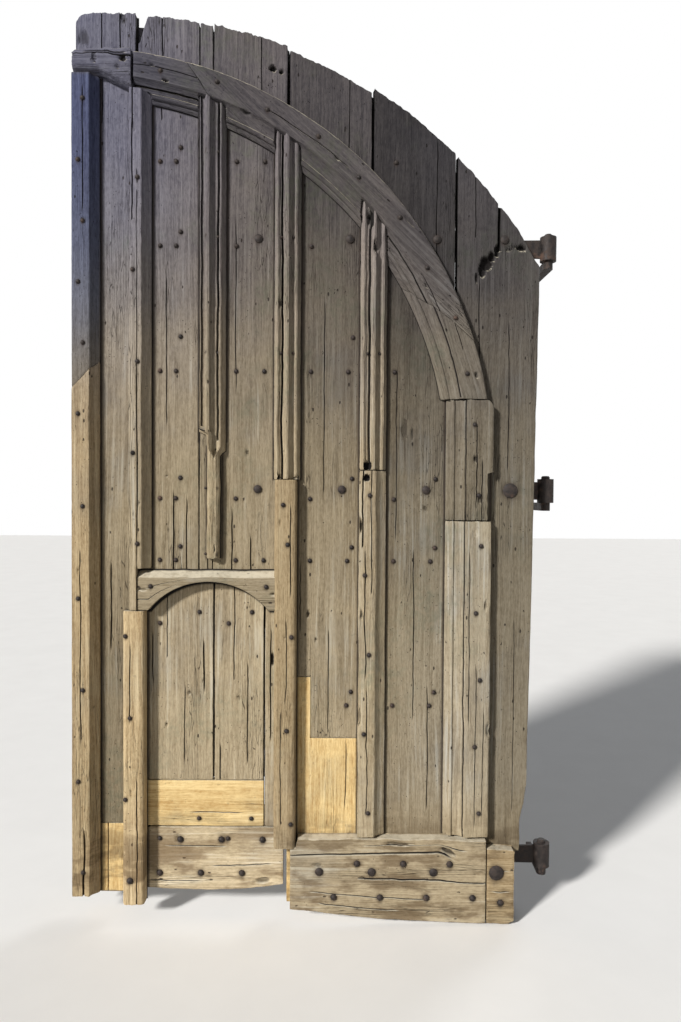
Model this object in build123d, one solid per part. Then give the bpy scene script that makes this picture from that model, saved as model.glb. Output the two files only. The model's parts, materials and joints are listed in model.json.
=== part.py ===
"""One leaf of a pair of arched oak gates, with a wicket door let into it, hung on three wall pintles.

Millimetres, +Z up. X = 0 and Y = 0 are the hinge axis. Z = 0 is the centreline of the lower pintle's tail.
The leaf stands open: it runs along -X from its hinges, its moulded weather face looks along -Y, and its
framed back looks along +Y, towards the wall that the pintles' tails run into.

From front to back the leaf has three layers: applied mouldings (a meeting stile, an arch rib with its jamb,
muntins over the board joints, a shaped wicket head and a bottom rail), upright boards, and a frame of posts,
ledges and an arch. Three iron straps lie on the frame's back and end in eyes on the pintles.
"""
import math
import os

from build123d import *

# Layers of the leaf, front to back
board_thickness = 40.0
moulding_proud = 55.0
frame_depth = 80.0
rail_proud = 52.0

# Leaf outline
meeting_edge_x = -2100.0
hinge_edge_inset = 65.0
hinge_edge_taper = 42.0
board_foot_z = -90.0
board_gap = 8.0
board_widths = (268.0, 274.0, 60.0, 327.0, 368.0, 367.0)
board_top_wear = (6.0, 12.0, 16.0, 8.0, 22.0, 2.0, 6.0)
board_arc_radius = 2148.0
board_arc_centre_x = -1931.0
board_arc_centre_z = 1672.0

# Breaks and repairs in the boards
crown_corner_radius = 45.0
broken_corner_width = 62.0
broken_corner_height = 128.0
heel_break_width = 34.0
heel_break_top_z = 415.0
heel_break_slant = 130.0
split_width = 7.0
split_depth_from_top = 150.0
split_x = -246.0
foot_patch_top_z = 258.0
foot_patch_joint_x = -1959.0
patch_top_z = 644.0
patch_strip_top_z = 915.0
patch_strip_width = 108.0

# Arch rib and its straight jamb
rib_radius = 1778.0
rib_springing_z = 1857.0
jamb_outer_x = -276.0
fascia_width = 116.0
rib_moulding_width = 86.0
rib_edge_proud = 46.0
rib_joint_gap = 3.0
crown_block_joint_x = -1836.0
crown_joint_gap = 9.0
crown_block_rise = 3.0
crown_block_left_width = 112.0
crown_block_right_width = 178.0
crown_block_hollow = 26.0
crown_length_outer_deg = 7.34
crown_length_inner_deg = 14.53
haunch_length_outer_deg = 8.11
haunch_length_inner_deg = 18.73
jamb_head_z = 2138.0
jamb_head_overhang = 6.0
jamb_head_radius = 42.0
jamb_joint_z = 1612.0
jamb_notch_top_z = 1819.0
jamb_notch_depth = 24.0

# Meeting stile
stile_base_width = 112.0
stile_face_width = 80.0
stile_foot_z = -45.0
stile_scarf_low_z = 2175.0
stile_scarf_rise = 86.0
stile_repair_proud = 4.0

# Muntins
muntin_width = 122.0
muntin_nose_width = 24.0
muntin_nose_height = 17.0
muntin_hollow_proud = 27.0
muntin_fillet_width = 7.0
muntin_fillet_proud = 37.0
muntin_chamfer_width = 15.0
muntin_1_lap = 22.0
muntin_1_width = 92.0
muntin_1_face_width = 58.0
muntin_1_reach = 44.0
muntin_2_foot_z = 1436.0
muntin_2_loss_z = 1933.0
muntin_2_core_width = 78.0
muntin_3_joint_z = 1786.0
muntin_4_offset = 8.0
muntin_4_joint_z = 1829.0
muntin_4_face_width = 76.0
repair_proud = 60.0
repair_chamfer = 11.0
repair_post_width = 100.0
repair_post_foot_z = 173.0
wicket_jamb_width = 98.0
wicket_jamb_foot_z = -80.0
wicket_jamb_head_z = 1212.0

# Bottom rail
rail_left_gap = 24.0
rail_top_z = 222.0
rail_left_foot_z = -101.0
rail_right_foot_z = -159.0
rail_end_width = 124.0
rail_end_drop = 46.0
rail_right_inset = 56.0
rail_split_z = 138.0
rail_split_height = 6.0
rail_split_depth = 16.0
rail_split_length = 735.0
rail_split_rise = 24.0
rail_end_gap = 4.0
rail_top_wear = 6.0
rail_foot_wear = 14.0

# Wicket head
head_left_lap = 14.0
head_right_lap = 24.0
head_setback = 2.0
head_top_z = 1394.0
head_weathering = 32.0
head_soffit_rise = 126.0
head_haunch_width = 50.0

# Wicket door
wicket_gap = 10.0
wicket_recess = 4.0
wicket_top_z = 1346.0
wicket_foot_z = -45.0
wicket_foot_wear = 26.0
wicket_joint_x = -1491.0
wicket_strip_joint_x = -1268.0
wicket_board_gap = 4.0
wicket_patch_top_z = 452.0
wicket_foot_board_top_z = 245.0
wicket_ledge_depth = 45.0
wicket_ledge_end_gap = 40.0
wicket_ledge_low_z = 160.0
wicket_ledge_low_height = 150.0
wicket_ledge_high_z = 1120.0
wicket_ledge_high_height = 110.0
head_gap = 10.0

# Rear frame
meeting_post_inset = 5.0
meeting_post_width = 250.0
hanging_post_width = 120.0
heel_post_width = 130.0
heel_post_inset = 95.0
post_foot_z = -70.0
frame_arc_inset = 45.0
frame_arch_width = 140.0
bottom_ledge_z = 0.0
lower_ledge_z = 760.0
header_ledge_z = 1400.0
middle_ledge_z = 1672.0
waist_ledge_z = 2230.0
upper_ledge_z = 2775.0
crown_ledge_z = 3140.0
hinge_ledge_height = 150.0
waist_ledge_height = 210.0
ledge_height = 120.0
ledge_fit = 0.5
tenon_length = 55.0
tenon_thickness = 26.0
tenon_shoulder = 14.0
tenon_clearance = 0.5

# Pintles in the wall and the leaf's strap hinges
pin_radius = 19.0
pin_clearance = 0.4
eye_wall = 17.0
eye_height = 108.0
pin_above_eye = 14.0
pin_nose = 5.0
tail_width = 42.0
tail_height = 36.0
tail_length = 230.0
tail_end_width = 24.0
seat_gap = 0.3
hinge_heights = (0.0, 1672.0, 2766.0)
strap_thickness = 12.0
strap_root_height = 82.0
strap_tip_height = 46.0
strap_tip_length = 70.0
strap_lengths = (1120.0, 1400.0, 1400.0)
rivet_insets = ((245.0, 520.0, 790.0), (190.0, 560.0, 930.0), (225.0, 520.0, 900.0))
rivet_from_tip = 100.0
rivet_shank = 15.0
rivet_clearance = 0.1
rivet_head = 36.0
rivet_rise = 9.0
stud_head = 66.0
stud_rise = 10.0

# Wicket hinges
wicket_pin_radius = 8.0
wicket_eye_wall = 8.0
wicket_eye_height = 60.0
wicket_pin_above_eye = 8.0
wicket_pin_clearance = 0.4
wicket_eye_post_gap = 4.0
wicket_strap_thickness = 8.0
wicket_strap_height = 42.0
wicket_strap_tip_height = 28.0
wicket_strap_length = 430.0
wicket_tail_size = 18.0
wicket_tail_bury = 80.0

# Wicket bolt
bolt_z = 790.0
bolt_size = 22.0
bolt_length = 300.0
bolt_setback = 8.0
bolt_travel = 60.0
bolt_socket_spare = 20.0
bolt_clearance = 0.3
staple_bar = 9.0
staple_width = 16.0
staple_bury = 26.0
staple_from_tip = 45.0
staple_spacing = 190.0
thumb_width = 14.0
thumb_length = 40.0
keeper_thickness = 6.0
keeper_margin = 22.0

# Nails
nail_head = 21.0
nail_rise = 7.0
nail_shank = 8.0
nail_bury = 88.0
nail_edge_inset = 92.0
nail_row_inset = 30.0
nail_stagger = 20.0
nail_clear = 16.0
big_nail_head = 31.0
big_nail_rise = 9.0
column_inset = 110.0
rib_nail_count = 9
rail_nail_count = 8
foot_nail_count = 6
muntin_nail_head = 13.0
muntin_nail_rise = 5.0
muntin_nail_bury = 55.0

# Derived planes and lines
frame_back_y = -strap_thickness / 2
frame_front_y = frame_back_y - frame_depth
board_front_y = frame_front_y - board_thickness
moulding_front_y = board_front_y - moulding_proud
hinge_edge_x = -hinge_edge_inset
rib_centre_x = jamb_outer_x - rib_radius
rib_width = fascia_width + rib_moulding_width
ridge_radius = rib_radius - fascia_width
rib_inner_radius = rib_radius - rib_width
joint_xs = [meeting_edge_x + sum(board_widths[: n + 1]) for n in range(len(board_widths))]
board_edges = [meeting_edge_x] + joint_xs + [hinge_edge_x]
wicket_left_x = joint_xs[0]
wicket_right_x = joint_xs[3]
repair_post_x = joint_xs[3] - 2
muntin_xs = {2: joint_xs[2], 3: joint_xs[3], 4: joint_xs[4] + muntin_4_offset}
muntin_1_left_x = joint_xs[0] - muntin_1_lap
muntin_spans = {1: (muntin_1_left_x, muntin_1_left_x + muntin_1_width)}
muntin_spans.update({n: (x - muntin_width / 2, x + muntin_width / 2) for n, x in muntin_xs.items()})
crown_block_top_z = rib_springing_z + rib_radius + crown_block_rise
stile_head_z = crown_block_top_z - crown_block_left_width - rib_joint_gap
hinge_corner_z = board_arc_centre_z + math.sqrt(
    board_arc_radius**2 - (hinge_edge_x - board_arc_centre_x) ** 2
)
heel_post_right_x = hinge_edge_x - heel_post_inset
heel_post_left_x = heel_post_right_x - heel_post_width
meeting_post_left_x = meeting_edge_x + meeting_post_inset
meeting_post_right_x = meeting_post_left_x + meeting_post_width
hanging_post_left_x = wicket_right_x + 6
hanging_post_right_x = hanging_post_left_x + hanging_post_width
frame_outer_radius = board_arc_radius - frame_arc_inset
frame_inner_radius = frame_outer_radius - frame_arch_width
shoulder_z = tail_height / 2
eye_radius = pin_radius + pin_clearance + eye_wall
rail_left_x = wicket_right_x + rail_left_gap
rail_right_x = hinge_edge_x - hinge_edge_taper - rail_right_inset
rail_end_joint_x = rail_right_x - rail_end_width
rail_front_y = board_front_y - rail_proud
head_front_y = moulding_front_y + head_setback
head_left_x = wicket_left_x + head_left_lap
head_right_x = wicket_right_x - head_right_lap
wicket_front_y = board_front_y + wicket_recess
wicket_back_y = wicket_front_y + board_thickness
wicket_ledge_back_y = wicket_back_y + wicket_ledge_depth
wicket_board_left_x = wicket_left_x + wicket_gap
wicket_board_right_x = wicket_right_x - wicket_gap
wicket_eye_radius = wicket_pin_radius + wicket_pin_clearance + wicket_eye_wall
wicket_axis_x = hanging_post_left_x - wicket_eye_radius - wicket_eye_post_gap
wicket_axis_y = wicket_ledge_back_y + wicket_strap_thickness / 2
keeper_face_x = meeting_post_right_x + keeper_thickness
bolt_tip_x = keeper_face_x + bolt_setback
bolt_y = wicket_back_y + bolt_clearance + bolt_size / 2
crown_joint_outer_deg = math.degrees(math.acos((crown_block_joint_x - rib_centre_x) / rib_radius))
crown_joint_inner_deg = math.degrees(math.acos((crown_block_joint_x - rib_centre_x) / rib_inner_radius))
crown_scarf_outer_deg = crown_joint_outer_deg - crown_length_outer_deg
crown_scarf_inner_deg = crown_joint_inner_deg - crown_length_inner_deg
jamb_head_outer_deg = math.degrees(math.asin((jamb_head_z - rib_springing_z) / rib_radius))
jamb_head_inner_deg = math.degrees(math.asin((jamb_head_z - rib_springing_z) / rib_inner_radius))
haunch_scarf_outer_deg = jamb_head_outer_deg + haunch_length_outer_deg
haunch_scarf_inner_deg = jamb_head_inner_deg + haunch_length_inner_deg
far = 6000.0


def block(x0, x1, y0, y1, z0, z1):
    """A box from its two corners."""
    return Pos((x0 + x1) / 2, (y0 + y1) / 2, (z0 + z1) / 2) * Box(abs(x1 - x0), abs(y1 - y0), abs(z1 - z0))


def front_prism(points, y0, y1):
    """A flat shape drawn in the leaf's elevation, given as (x, z) points, and run through from y0 to y1."""
    outline = Polyline(*[(x, y0, z) for x, z in points], close=True)
    return extrude(make_face(outline), amount=y1 - y0, dir=(0, 1, 0))


def upright(points, z0, z1):
    """A moulding section given as (x, y) points, run upright from z0 to z1."""
    outline = Polyline(*[(x, y, z0) for x, y in points], close=True)
    return extrude(make_face(outline), amount=z1 - z0, dir=(0, 0, 1))


def board_block(x0, x1, z0, z1):
    """A box through the boards' whole thickness."""
    return block(x0, x1, board_front_y, frame_front_y, z0, z1)


def cut_moulding(x0, x1, z0, z1):
    """A cutter that clears a stretch of the moulding layer in front of the boards."""
    return block(x0, x1, moulding_front_y - 20, board_front_y + 1, z0, z1)


def cut_boards(points):
    """A cutter drawn in elevation that clears the boards through and through."""
    return front_prism(points, board_front_y - 1, frame_front_y + 1)


def disc(centre_x, centre_z, radius, y0, y1):
    """A round slab seen from the front, between two depths."""
    return Pos(centre_x, (y0 + y1) / 2, centre_z) * Rot(90, 0, 0) * Cylinder(radius, abs(y1 - y0))


def polar(radius, degrees, centre_x=None, centre_z=None):
    """A point of the rib's circle, or of another, as (x, z); 0 degrees looks along +X and 90 up."""
    turn = math.radians(degrees)
    x = rib_centre_x if centre_x is None else centre_x
    z = rib_springing_z if centre_z is None else centre_z
    return (x + radius * math.cos(turn), z + radius * math.sin(turn))


def top_of_circle(x, radius, centre_x, centre_z):
    """Height of a circle's upper half at x."""
    return centre_z + math.sqrt(radius**2 - (x - centre_x) ** 2)


def arc_points(radius, from_deg, to_deg, steps=24):
    """Evenly spaced points along the rib's circle at another radius."""
    return [polar(radius, from_deg + (to_deg - from_deg) * n / steps) for n in range(steps + 1)]


def hollow(p, q, sag, steps=5):
    """Points of a shallow circular hollow between p and q, bowed in by sag, ends left out."""
    dx, dy = q[0] - p[0], q[1] - p[1]
    length = math.hypot(dx, dy)
    found = []
    for n in range(1, steps):
        t = n / steps
        depth = 4 * sag * t * (1 - t)
        found.append((p[0] + dx * t - dy / length * depth, p[1] + dy * t + dx / length * depth))
    return found


def faceted_head(x, y, z, width, rise, sides):
    """A forged head: a low pyramid standing on y, towards the front where rise is negative."""
    reach = width / 2 / math.cos(math.pi / sides)
    corners = [polar(reach, (n + 0.5) * 360 / sides, x, z) for n in range(sides)]
    foot = make_face(Polyline(*[(px, y, pz) for px, pz in corners], close=True))
    return loft([foot, Vertex(x, y + rise, z)])


# Boards

def board_stock(number):
    """One upright board under the board arc, with half the shrinkage gap taken off each joint edge."""
    first, last = number == 0, number == len(board_edges) - 2
    x0 = board_edges[number] + (0 if first else board_gap / 2)
    x1 = board_edges[number + 1] - (0 if last else board_gap / 2)
    radius = board_arc_radius - board_top_wear[number]
    stock = block(x0, x1, board_front_y, frame_front_y, board_foot_z, far)
    return stock & disc(board_arc_centre_x, board_arc_centre_z, radius, board_front_y - 1, frame_front_y + 1)


def cut_below(x0, x1, z):
    """Clears a stretch of board below z."""
    return block(x0, x1, board_front_y - 1, frame_front_y + 1, board_foot_z - 100, z)


def board_1():
    """Meeting-edge board: round outer corner at the crown, foot cut away for two new pieces."""
    body = board_stock(0) - cut_below(board_edges[0] - 1, board_edges[1] + 1, foot_patch_top_z)
    left_edges = [e for e in body.edges().filter_by(Axis.Y) if e.center().X < meeting_edge_x + 1]
    highest = max(left_edges, key=lambda e: e.center().Z)
    return fillet(highest, crown_corner_radius)


def board_1_foot_left():
    """New oak piece at the meeting edge's foot."""
    return board_block(meeting_edge_x, foot_patch_joint_x - 1, wicket_foot_z, foot_patch_top_z - 1)


def board_1_foot_right():
    """New oak piece at the foot beside the wicket."""
    right = wicket_left_x - board_gap / 2
    return board_block(foot_patch_joint_x + 1, right, wicket_foot_z, foot_patch_top_z - 1)


def wicket_side_board(number):
    """A board that stops over the wicket."""
    left, right = board_edges[number], board_edges[number + 1]
    return board_stock(number) - cut_below(left - 1, right + 1, wicket_top_z + head_gap)


def board_2():
    """First board over the wicket, its crown corner broken off on the slant."""
    x0 = board_edges[1]
    crown = top_of_circle(x0 + broken_corner_width, board_arc_radius, board_arc_centre_x, board_arc_centre_z)
    low = crown - broken_corner_height
    high = crown + 40
    broken = cut_boards([(x0 - 20, low), (x0 + 12, low), (x0 + broken_corner_width, high), (x0 - 20, high)])
    return wicket_side_board(1) - broken


def board_5():
    """Board right of the wicket, its foot cut away for the stepped oak patch."""
    x0, x1 = board_edges[4], board_edges[5]
    strip = cut_below(x0 - 1, x0 + patch_strip_width, patch_strip_top_z)
    return board_stock(4) - cut_below(x0 - 1, x1 + 1, patch_top_z) - strip


def board_5_patch():
    """New oak patch: a wide foot with a narrow tongue up its left side."""
    x0, x1 = board_edges[4] + board_gap / 2, board_edges[5] - board_gap / 2
    tongue_x = board_edges[4] + patch_strip_width - 1
    return front_prism(
        [(x0, board_foot_z), (x1, board_foot_z), (x1, patch_top_z - 1), (tongue_x, patch_top_z - 1),
         (tongue_x, patch_strip_top_z - 1), (x0, patch_strip_top_z - 1)],
        board_front_y, frame_front_y,
    )


def board_7():
    """Hinge-edge board: tapered right edge, a split at its head and a broken heel."""
    z_low = board_foot_z - 1
    outside = hinge_edge_x + 60
    heel_x = hinge_edge_x - hinge_edge_taper
    top = heel_break_top_z
    taper = cut_boards([(hinge_edge_x, hinge_corner_z), (outside, hinge_corner_z),
                        (outside, z_low), (heel_x, z_low)])
    heel = cut_boards([(heel_x + 30, top + 20), (heel_x + 5, top),
                       (heel_x - heel_break_width * 0.6, top - heel_break_slant),
                       (heel_x - heel_break_width, z_low), (outside, z_low), (outside, top + 20)])
    head_z = top_of_circle(split_x, board_arc_radius, board_arc_centre_x, board_arc_centre_z)
    split = cut_boards([(split_x - split_width, head_z + 30), (split_x + split_width, head_z + 30),
                        (split_x + 1, head_z - split_depth_from_top)])
    return board_stock(6) - taper - heel - split


# Arch rib, jamb and crown

def rib_disc(radius):
    """A disc on the rib's centre through the moulding layer."""
    return disc(rib_centre_x, rib_springing_z, radius, moulding_front_y - 20, board_front_y + 1)


def rib_section():
    """Rib section as (distance in from the outer edge, stand-off from the boards)."""
    ridge = (fascia_width, moulding_proud)
    hollow_foot = (fascia_width + rib_moulding_width * 0.42, moulding_proud * 0.5)
    quirk = (fascia_width + rib_moulding_width * 0.5, moulding_proud * 0.5)
    roll_top = (fascia_width + rib_moulding_width * 0.64, moulding_proud * 0.62)
    roll_foot = (fascia_width + rib_moulding_width * 0.8, moulding_proud * 0.34)
    lip = (fascia_width + rib_moulding_width, moulding_proud * 0.2)
    return (
        [(0, 0), (0, rib_edge_proud - 4), (4, rib_edge_proud), ridge]
        + hollow(ridge, hollow_foot, 7, 3)
        + [hollow_foot, quirk, roll_top, roll_foot, lip, (lip[0], 0)]
    )


def rib_ring():
    """A quarter turn of the moulded rib."""
    outline = [(rib_centre_x + rib_radius - u, board_front_y - v, rib_springing_z) for u, v in rib_section()]
    face = make_face(Polyline(*outline, close=True))
    return revolve(face, axis=Axis((rib_centre_x, 0, rib_springing_z), (0, -1, 0)), revolution_arc=95)


def sector(first, second):
    """The part of the rib's zone between two cuts, each given as its outer and inner angles."""
    def cut(outer_deg, inner_deg):
        outer, inner = polar(rib_radius, outer_deg), polar(rib_inner_radius, inner_deg)
        reach = 90 / rib_width
        grow = [(outer[n] - inner[n]) * reach for n in (0, 1)]
        return (outer[0] + grow[0], outer[1] + grow[1]), (inner[0] - grow[0], inner[1] - grow[1])

    outer_a, inner_a = cut(*first)
    outer_b, inner_b = cut(*second)
    beyond = arc_points(rib_radius * 1.2, first[0], second[0], 8)
    outline = [inner_a, outer_a] + beyond + [outer_b, inner_b]
    return front_prism(outline, moulding_front_y - 20, board_front_y + 1)


def muntin_top_radius(number):
    """How far up, on the rib's circle, each muntin runs."""
    return ridge_radius - muntin_1_reach if number == 1 else ridge_radius


def muntin_housing(number):
    """What one muntin's head cuts out of the rib's inner mouldings."""
    x0, x1 = muntin_spans[number]
    grow = rib_joint_gap / 2
    slot = cut_moulding(x0 - grow, x1 + grow, rib_springing_z, far)
    return slot & rib_disc(muntin_top_radius(number) + grow)


def rib_segments():
    """The three curved lengths of the rib, scarfed on the slant, cut for the muntins."""
    half_gap = math.degrees(rib_joint_gap / 2 / rib_radius)
    ring = rib_ring()
    for number in muntin_spans:
        ring -= muntin_housing(number)
    crown_end = (crown_joint_outer_deg, crown_joint_inner_deg)
    jamb_end = (jamb_head_outer_deg, jamb_head_inner_deg)
    crown_scarf = (crown_scarf_outer_deg, crown_scarf_inner_deg)
    haunch_scarf = (haunch_scarf_outer_deg, haunch_scarf_inner_deg)

    def shifted(cut, by):
        return (cut[0] + by, cut[1] + by)

    return {
        "arch_rib_crown": ring & sector(shifted(crown_scarf, half_gap), shifted(crown_end, -half_gap)),
        "arch_rib_middle": ring & sector(shifted(haunch_scarf, half_gap), shifted(crown_scarf, -half_gap)),
        "arch_rib_haunch": ring & sector(shifted(jamb_end, half_gap), shifted(haunch_scarf, -half_gap)),
    }


def crown_block():
    """Flat block that carries the rib across the head of the meeting stile, hollow-chamfered underneath."""
    left, right = meeting_edge_x, crown_block_joint_x - crown_joint_gap
    top = crown_block_top_z
    low_left, low_right = top - crown_block_left_width, top - crown_block_right_width
    middle = (left + right) / 2
    under = [(right, low_right), (middle + 40, low_right + 38), (middle - 20, low_left),
             (left + stile_face_width, low_left)]
    body = front_prism([(left, low_left), (left, top - 20), (middle, top - 4), (right, top - 8)] + under,
                       moulding_front_y, board_front_y)
    for (xb, zb), (xa, za) in zip(under, under[1:]):
        ends = []
        for x, z in ((xa, za), (xb, zb)):
            ends.append(make_face(Polyline(
                (x, moulding_front_y - 1, z + crown_block_hollow), (x, moulding_front_y - 1, z - 5),
                (x, board_front_y - 18, z - 5), (x, board_front_y - 18, z), close=True)))
        body -= loft(ends)
    return body - muntin_housing(1)


def jamb_section():
    """The rib's section laid out for the straight jamb, as (x, y) points."""
    return [(jamb_outer_x - u, board_front_y - v) for u, v in rib_section()]


def rib_jamb_upper():
    """Straight jamb under the haunch: round shoulder at its head, a notch in its outer edge."""
    grown = [(x + jamb_head_overhang if x == jamb_outer_x else x, y) for x, y in jamb_section()]
    body = upright(grown, jamb_joint_z + 1, jamb_head_z)
    outer_x = jamb_outer_x + jamb_head_overhang
    round_x, round_z = outer_x - jamb_head_radius, jamb_head_z - jamb_head_radius
    corner = cut_moulding(round_x, outer_x + 1, round_z, jamb_head_z + 1)
    corner -= disc(round_x, round_z, jamb_head_radius, moulding_front_y - 30, board_front_y + 2)
    notch_x = outer_x - jamb_head_overhang - jamb_notch_depth
    notch = cut_moulding(notch_x, outer_x + 5, jamb_joint_z - 1, jamb_notch_top_z)
    return body - corner - notch


def rib_jamb_lower():
    """Straight jamb down to the bottom rail."""
    return upright(jamb_section(), rail_top_z + 1, jamb_joint_z - 1)


# Meeting stile

def plain_section(left, face_width, base_width, proud):
    """A plain face, then a hollow chamfer down to a fillet on the boards, as (x, y) points."""
    arris = (left + face_width, board_front_y - proud)
    fillet_top = (left + base_width, board_front_y - proud * 0.3)
    return (
        [(left, board_front_y), (left, board_front_y - proud), arris]
        + hollow(arris, fillet_top, 5, 4)
        + [fillet_top, (left + base_width, board_front_y)]
    )


def stile_length(proud):
    """The meeting stile's whole length, before it is cut at the scarf."""
    section = plain_section(meeting_edge_x, stile_face_width, stile_base_width, proud)
    return upright(section, stile_foot_z, stile_head_z)


def scarf_block(above):
    """Half-space above or below the stile's sloping scarf."""
    left, right = meeting_edge_x - 10, meeting_edge_x + stile_base_width + 10
    slope = stile_scarf_rise / stile_face_width
    low = stile_scarf_low_z - 10 * slope
    high = stile_scarf_low_z + (right - meeting_edge_x) * slope
    end = far if above else -far
    lift = 1 if above else -1
    return front_prism([(left, low + lift), (right, high + lift), (right, end), (left, end)],
                       moulding_front_y - 30, board_front_y + 1)


def meeting_stile_upper():
    """Old upper length of the stile, scarfed at its foot."""
    return stile_length(moulding_proud) & scarf_block(True)


def meeting_stile_lower():
    """Replacement lower length, standing a little prouder."""
    return stile_length(moulding_proud + stile_repair_proud) & scarf_block(False)


# Muntins

def muntin_section(x):
    """A middle nose between two hollows, a fillet outside each, and chamfered edges."""
    half, nose = muntin_width / 2, muntin_nose_width / 2
    nose_foot = (nose + 1, moulding_proud - muntin_nose_height)
    fillet_in = (half - muntin_chamfer_width - muntin_fillet_width, muntin_fillet_proud)
    sag = min(nose_foot[1], muntin_fillet_proud) - muntin_hollow_proud
    right = (
        [(nose * 0.55, moulding_proud), (nose, moulding_proud - 5), nose_foot]
        + hollow(nose_foot, fillet_in, -sag, 4)
        + [fillet_in, (half - muntin_chamfer_width, muntin_fillet_proud), (half, 4), (half, 0)]
    )
    left = [(-u, v) for u, v in reversed(right)]
    return [(x + u, board_front_y - v) for u, v in left + right]


def under_rib(body, number):
    """A muntin's head, cut to the curve it runs up to."""
    return body & rib_disc(muntin_top_radius(number))


def moulded_muntin(number, z0):
    """A moulded muntin from z0 up to the rib's ridge."""
    return under_rib(upright(muntin_section(muntin_xs[number]), z0, rib_springing_z + rib_radius), number)


def plain_post(x, width, z0, z1, proud):
    """A plain squared repair with chamfered arrises."""
    half, c = width / 2, repair_chamfer
    right = [(half - c, proud), (half, proud - c), (half, 0)]
    left = [(-u, v) for u, v in reversed(right)]
    return upright([(x + u, board_front_y - v) for u, v in left + right], z0, z1)


def head_housing():
    """The space the wicket head takes out of the muntins at its ends."""
    return cut_moulding(head_left_x - 1, head_right_x + 1, wicket_jamb_head_z - 1, head_top_z + 1)


def muntin_1():
    """Plain muntin over the wicket's left side, standing on its jamb and notched round the wicket head."""
    section = plain_section(muntin_1_left_x, muntin_1_face_width, muntin_1_width, moulding_proud)
    length = upright(section, wicket_jamb_head_z + 2, rib_springing_z + rib_radius)
    return under_rib(length, 1) - head_housing()


def muntin_2():
    """Muntin over the wicket, its outer mouldings lost from its lower end."""
    body = moulded_muntin(2, muntin_2_foot_z)
    x0, x1 = muntin_spans[2]
    core = muntin_2_core_width / 2
    middle = muntin_xs[2]
    for low, high in ((x0 - 1, middle - core), (middle + core - 3, x1 + 1)):
        body -= cut_moulding(low, high, muntin_2_foot_z - 1, muntin_2_loss_z)
    return body


def muntin_4_lower():
    """Lower length of the muntin right of the wicket's post, plain with a hollow chamfer."""
    x0 = muntin_spans[4][0]
    section = plain_section(x0, muntin_4_face_width, muntin_width, moulding_proud)
    return upright(section, rail_top_z + 1, muntin_4_joint_z - 1)


def wicket_jamb():
    """Plain replacement jamb down the wicket's left side."""
    x = wicket_left_x + 1
    return plain_post(x, wicket_jamb_width, wicket_jamb_foot_z, wicket_jamb_head_z, repair_proud)


def muntin_3_foot():
    """Plain replacement for the lower half of the muntin on the wicket's right side."""
    top = muntin_3_joint_z - 1
    post = plain_post(repair_post_x, repair_post_width, repair_post_foot_z, top, repair_proud)
    return post - head_housing()


def wicket_head():
    """Shaped head: an arched soffit between two haunches, its top weathered to throw water."""
    low = wicket_jamb_head_z + 2
    spring_l = head_left_x + head_haunch_width
    spring_r = head_right_x - head_haunch_width
    crown = ((spring_l + spring_r) / 2, low + head_soffit_rise)
    y = head_front_y
    lines = [
        Line((spring_l, y, low), (head_left_x, y, low)),
        Line((head_left_x, y, low), (head_left_x, y, head_top_z)),
        Line((head_left_x, y, head_top_z), (head_right_x, y, head_top_z)),
        Line((head_right_x, y, head_top_z), (head_right_x, y, low)),
        Line((head_right_x, y, low), (spring_r, y, low)),
        ThreePointArc((spring_r, y, low), (crown[0], y, crown[1]), (spring_l, y, low)),
    ]
    body = extrude(make_face(lines), amount=board_front_y - y, dir=(0, 1, 0))
    x, top = head_left_x - 1, head_top_z
    slope = Polyline((x, y - 1, top - head_weathering), (x, y - 1, top + 1), (x, board_front_y, top + 1),
                     (x, board_front_y, top), close=True)
    return body - extrude(make_face(slope), amount=head_right_x - head_left_x + 2, dir=(1, 0, 0))


# Bottom rail

def bottom_rail():
    """Heavy bottom rail with a weathered top arris, a lengthwise split and a foot worn on the slope."""
    left, right = rail_left_x, rail_end_joint_x - rail_end_gap / 2
    middle = (left + right) / 2
    body = front_prism([(left, rail_left_foot_z), (left, rail_top_z), (right, rail_top_z - rail_top_wear),
                        (right, rail_right_foot_z), (middle, rail_right_foot_z + rail_foot_wear)],
                       rail_front_y, board_front_y)
    split = front_prism([(left - 1, rail_split_z), (left + rail_split_length, rail_split_z + rail_split_rise),
                         (left - 1, rail_split_z + rail_split_height)],
                        rail_front_y - 1, rail_front_y + rail_split_depth)
    half, foot = repair_post_width / 2 + 1, repair_post_foot_z - 1
    return body - split - cut_moulding(repair_post_x - half, repair_post_x + half, foot, far)


def bottom_rail_end():
    """Short end piece of the rail under the hinge-edge board."""
    left, top = rail_end_joint_x + rail_end_gap / 2, rail_top_z - rail_end_drop
    foot, right = rail_right_foot_z, rail_right_x
    corners = [(left, foot), (left, top + rail_top_wear), (right - rail_top_wear, top),
               (right, foot + rail_foot_wear), (right - 2 * rail_foot_wear, foot)]
    return front_prism(corners, rail_front_y, board_front_y)


# Rear frame

def frame_block(x0, x1, z0, z1):
    """A member of the rear frame, full depth."""
    return block(x0, x1, frame_front_y, frame_back_y, z0, z1)


def frame_disc(radius):
    """The board arc, inset, through the frame's depth."""
    return disc(board_arc_centre_x, board_arc_centre_z, radius, frame_front_y - 1, frame_back_y + 1)


def tenon(x, outwards, z0, z1, grow=0.0):
    """A tenon, or with grow its mortise, running from a shoulder at x to the left (-1) or right (+1)."""
    middle_y = (frame_front_y + frame_back_y) / 2
    half = tenon_thickness / 2 + grow
    end = x + outwards * (tenon_length + grow)
    low, high = z0 + tenon_shoulder - grow, z1 - tenon_shoulder + grow
    return block(x - outwards * 0.01, end, middle_y - half, middle_y + half, low, high)


def ledge_span(left, z, height):
    """One ledge's place as (left, right, bottom, top); every ledge runs to the heel post."""
    return (left, heel_post_left_x, z, z + height)


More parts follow.
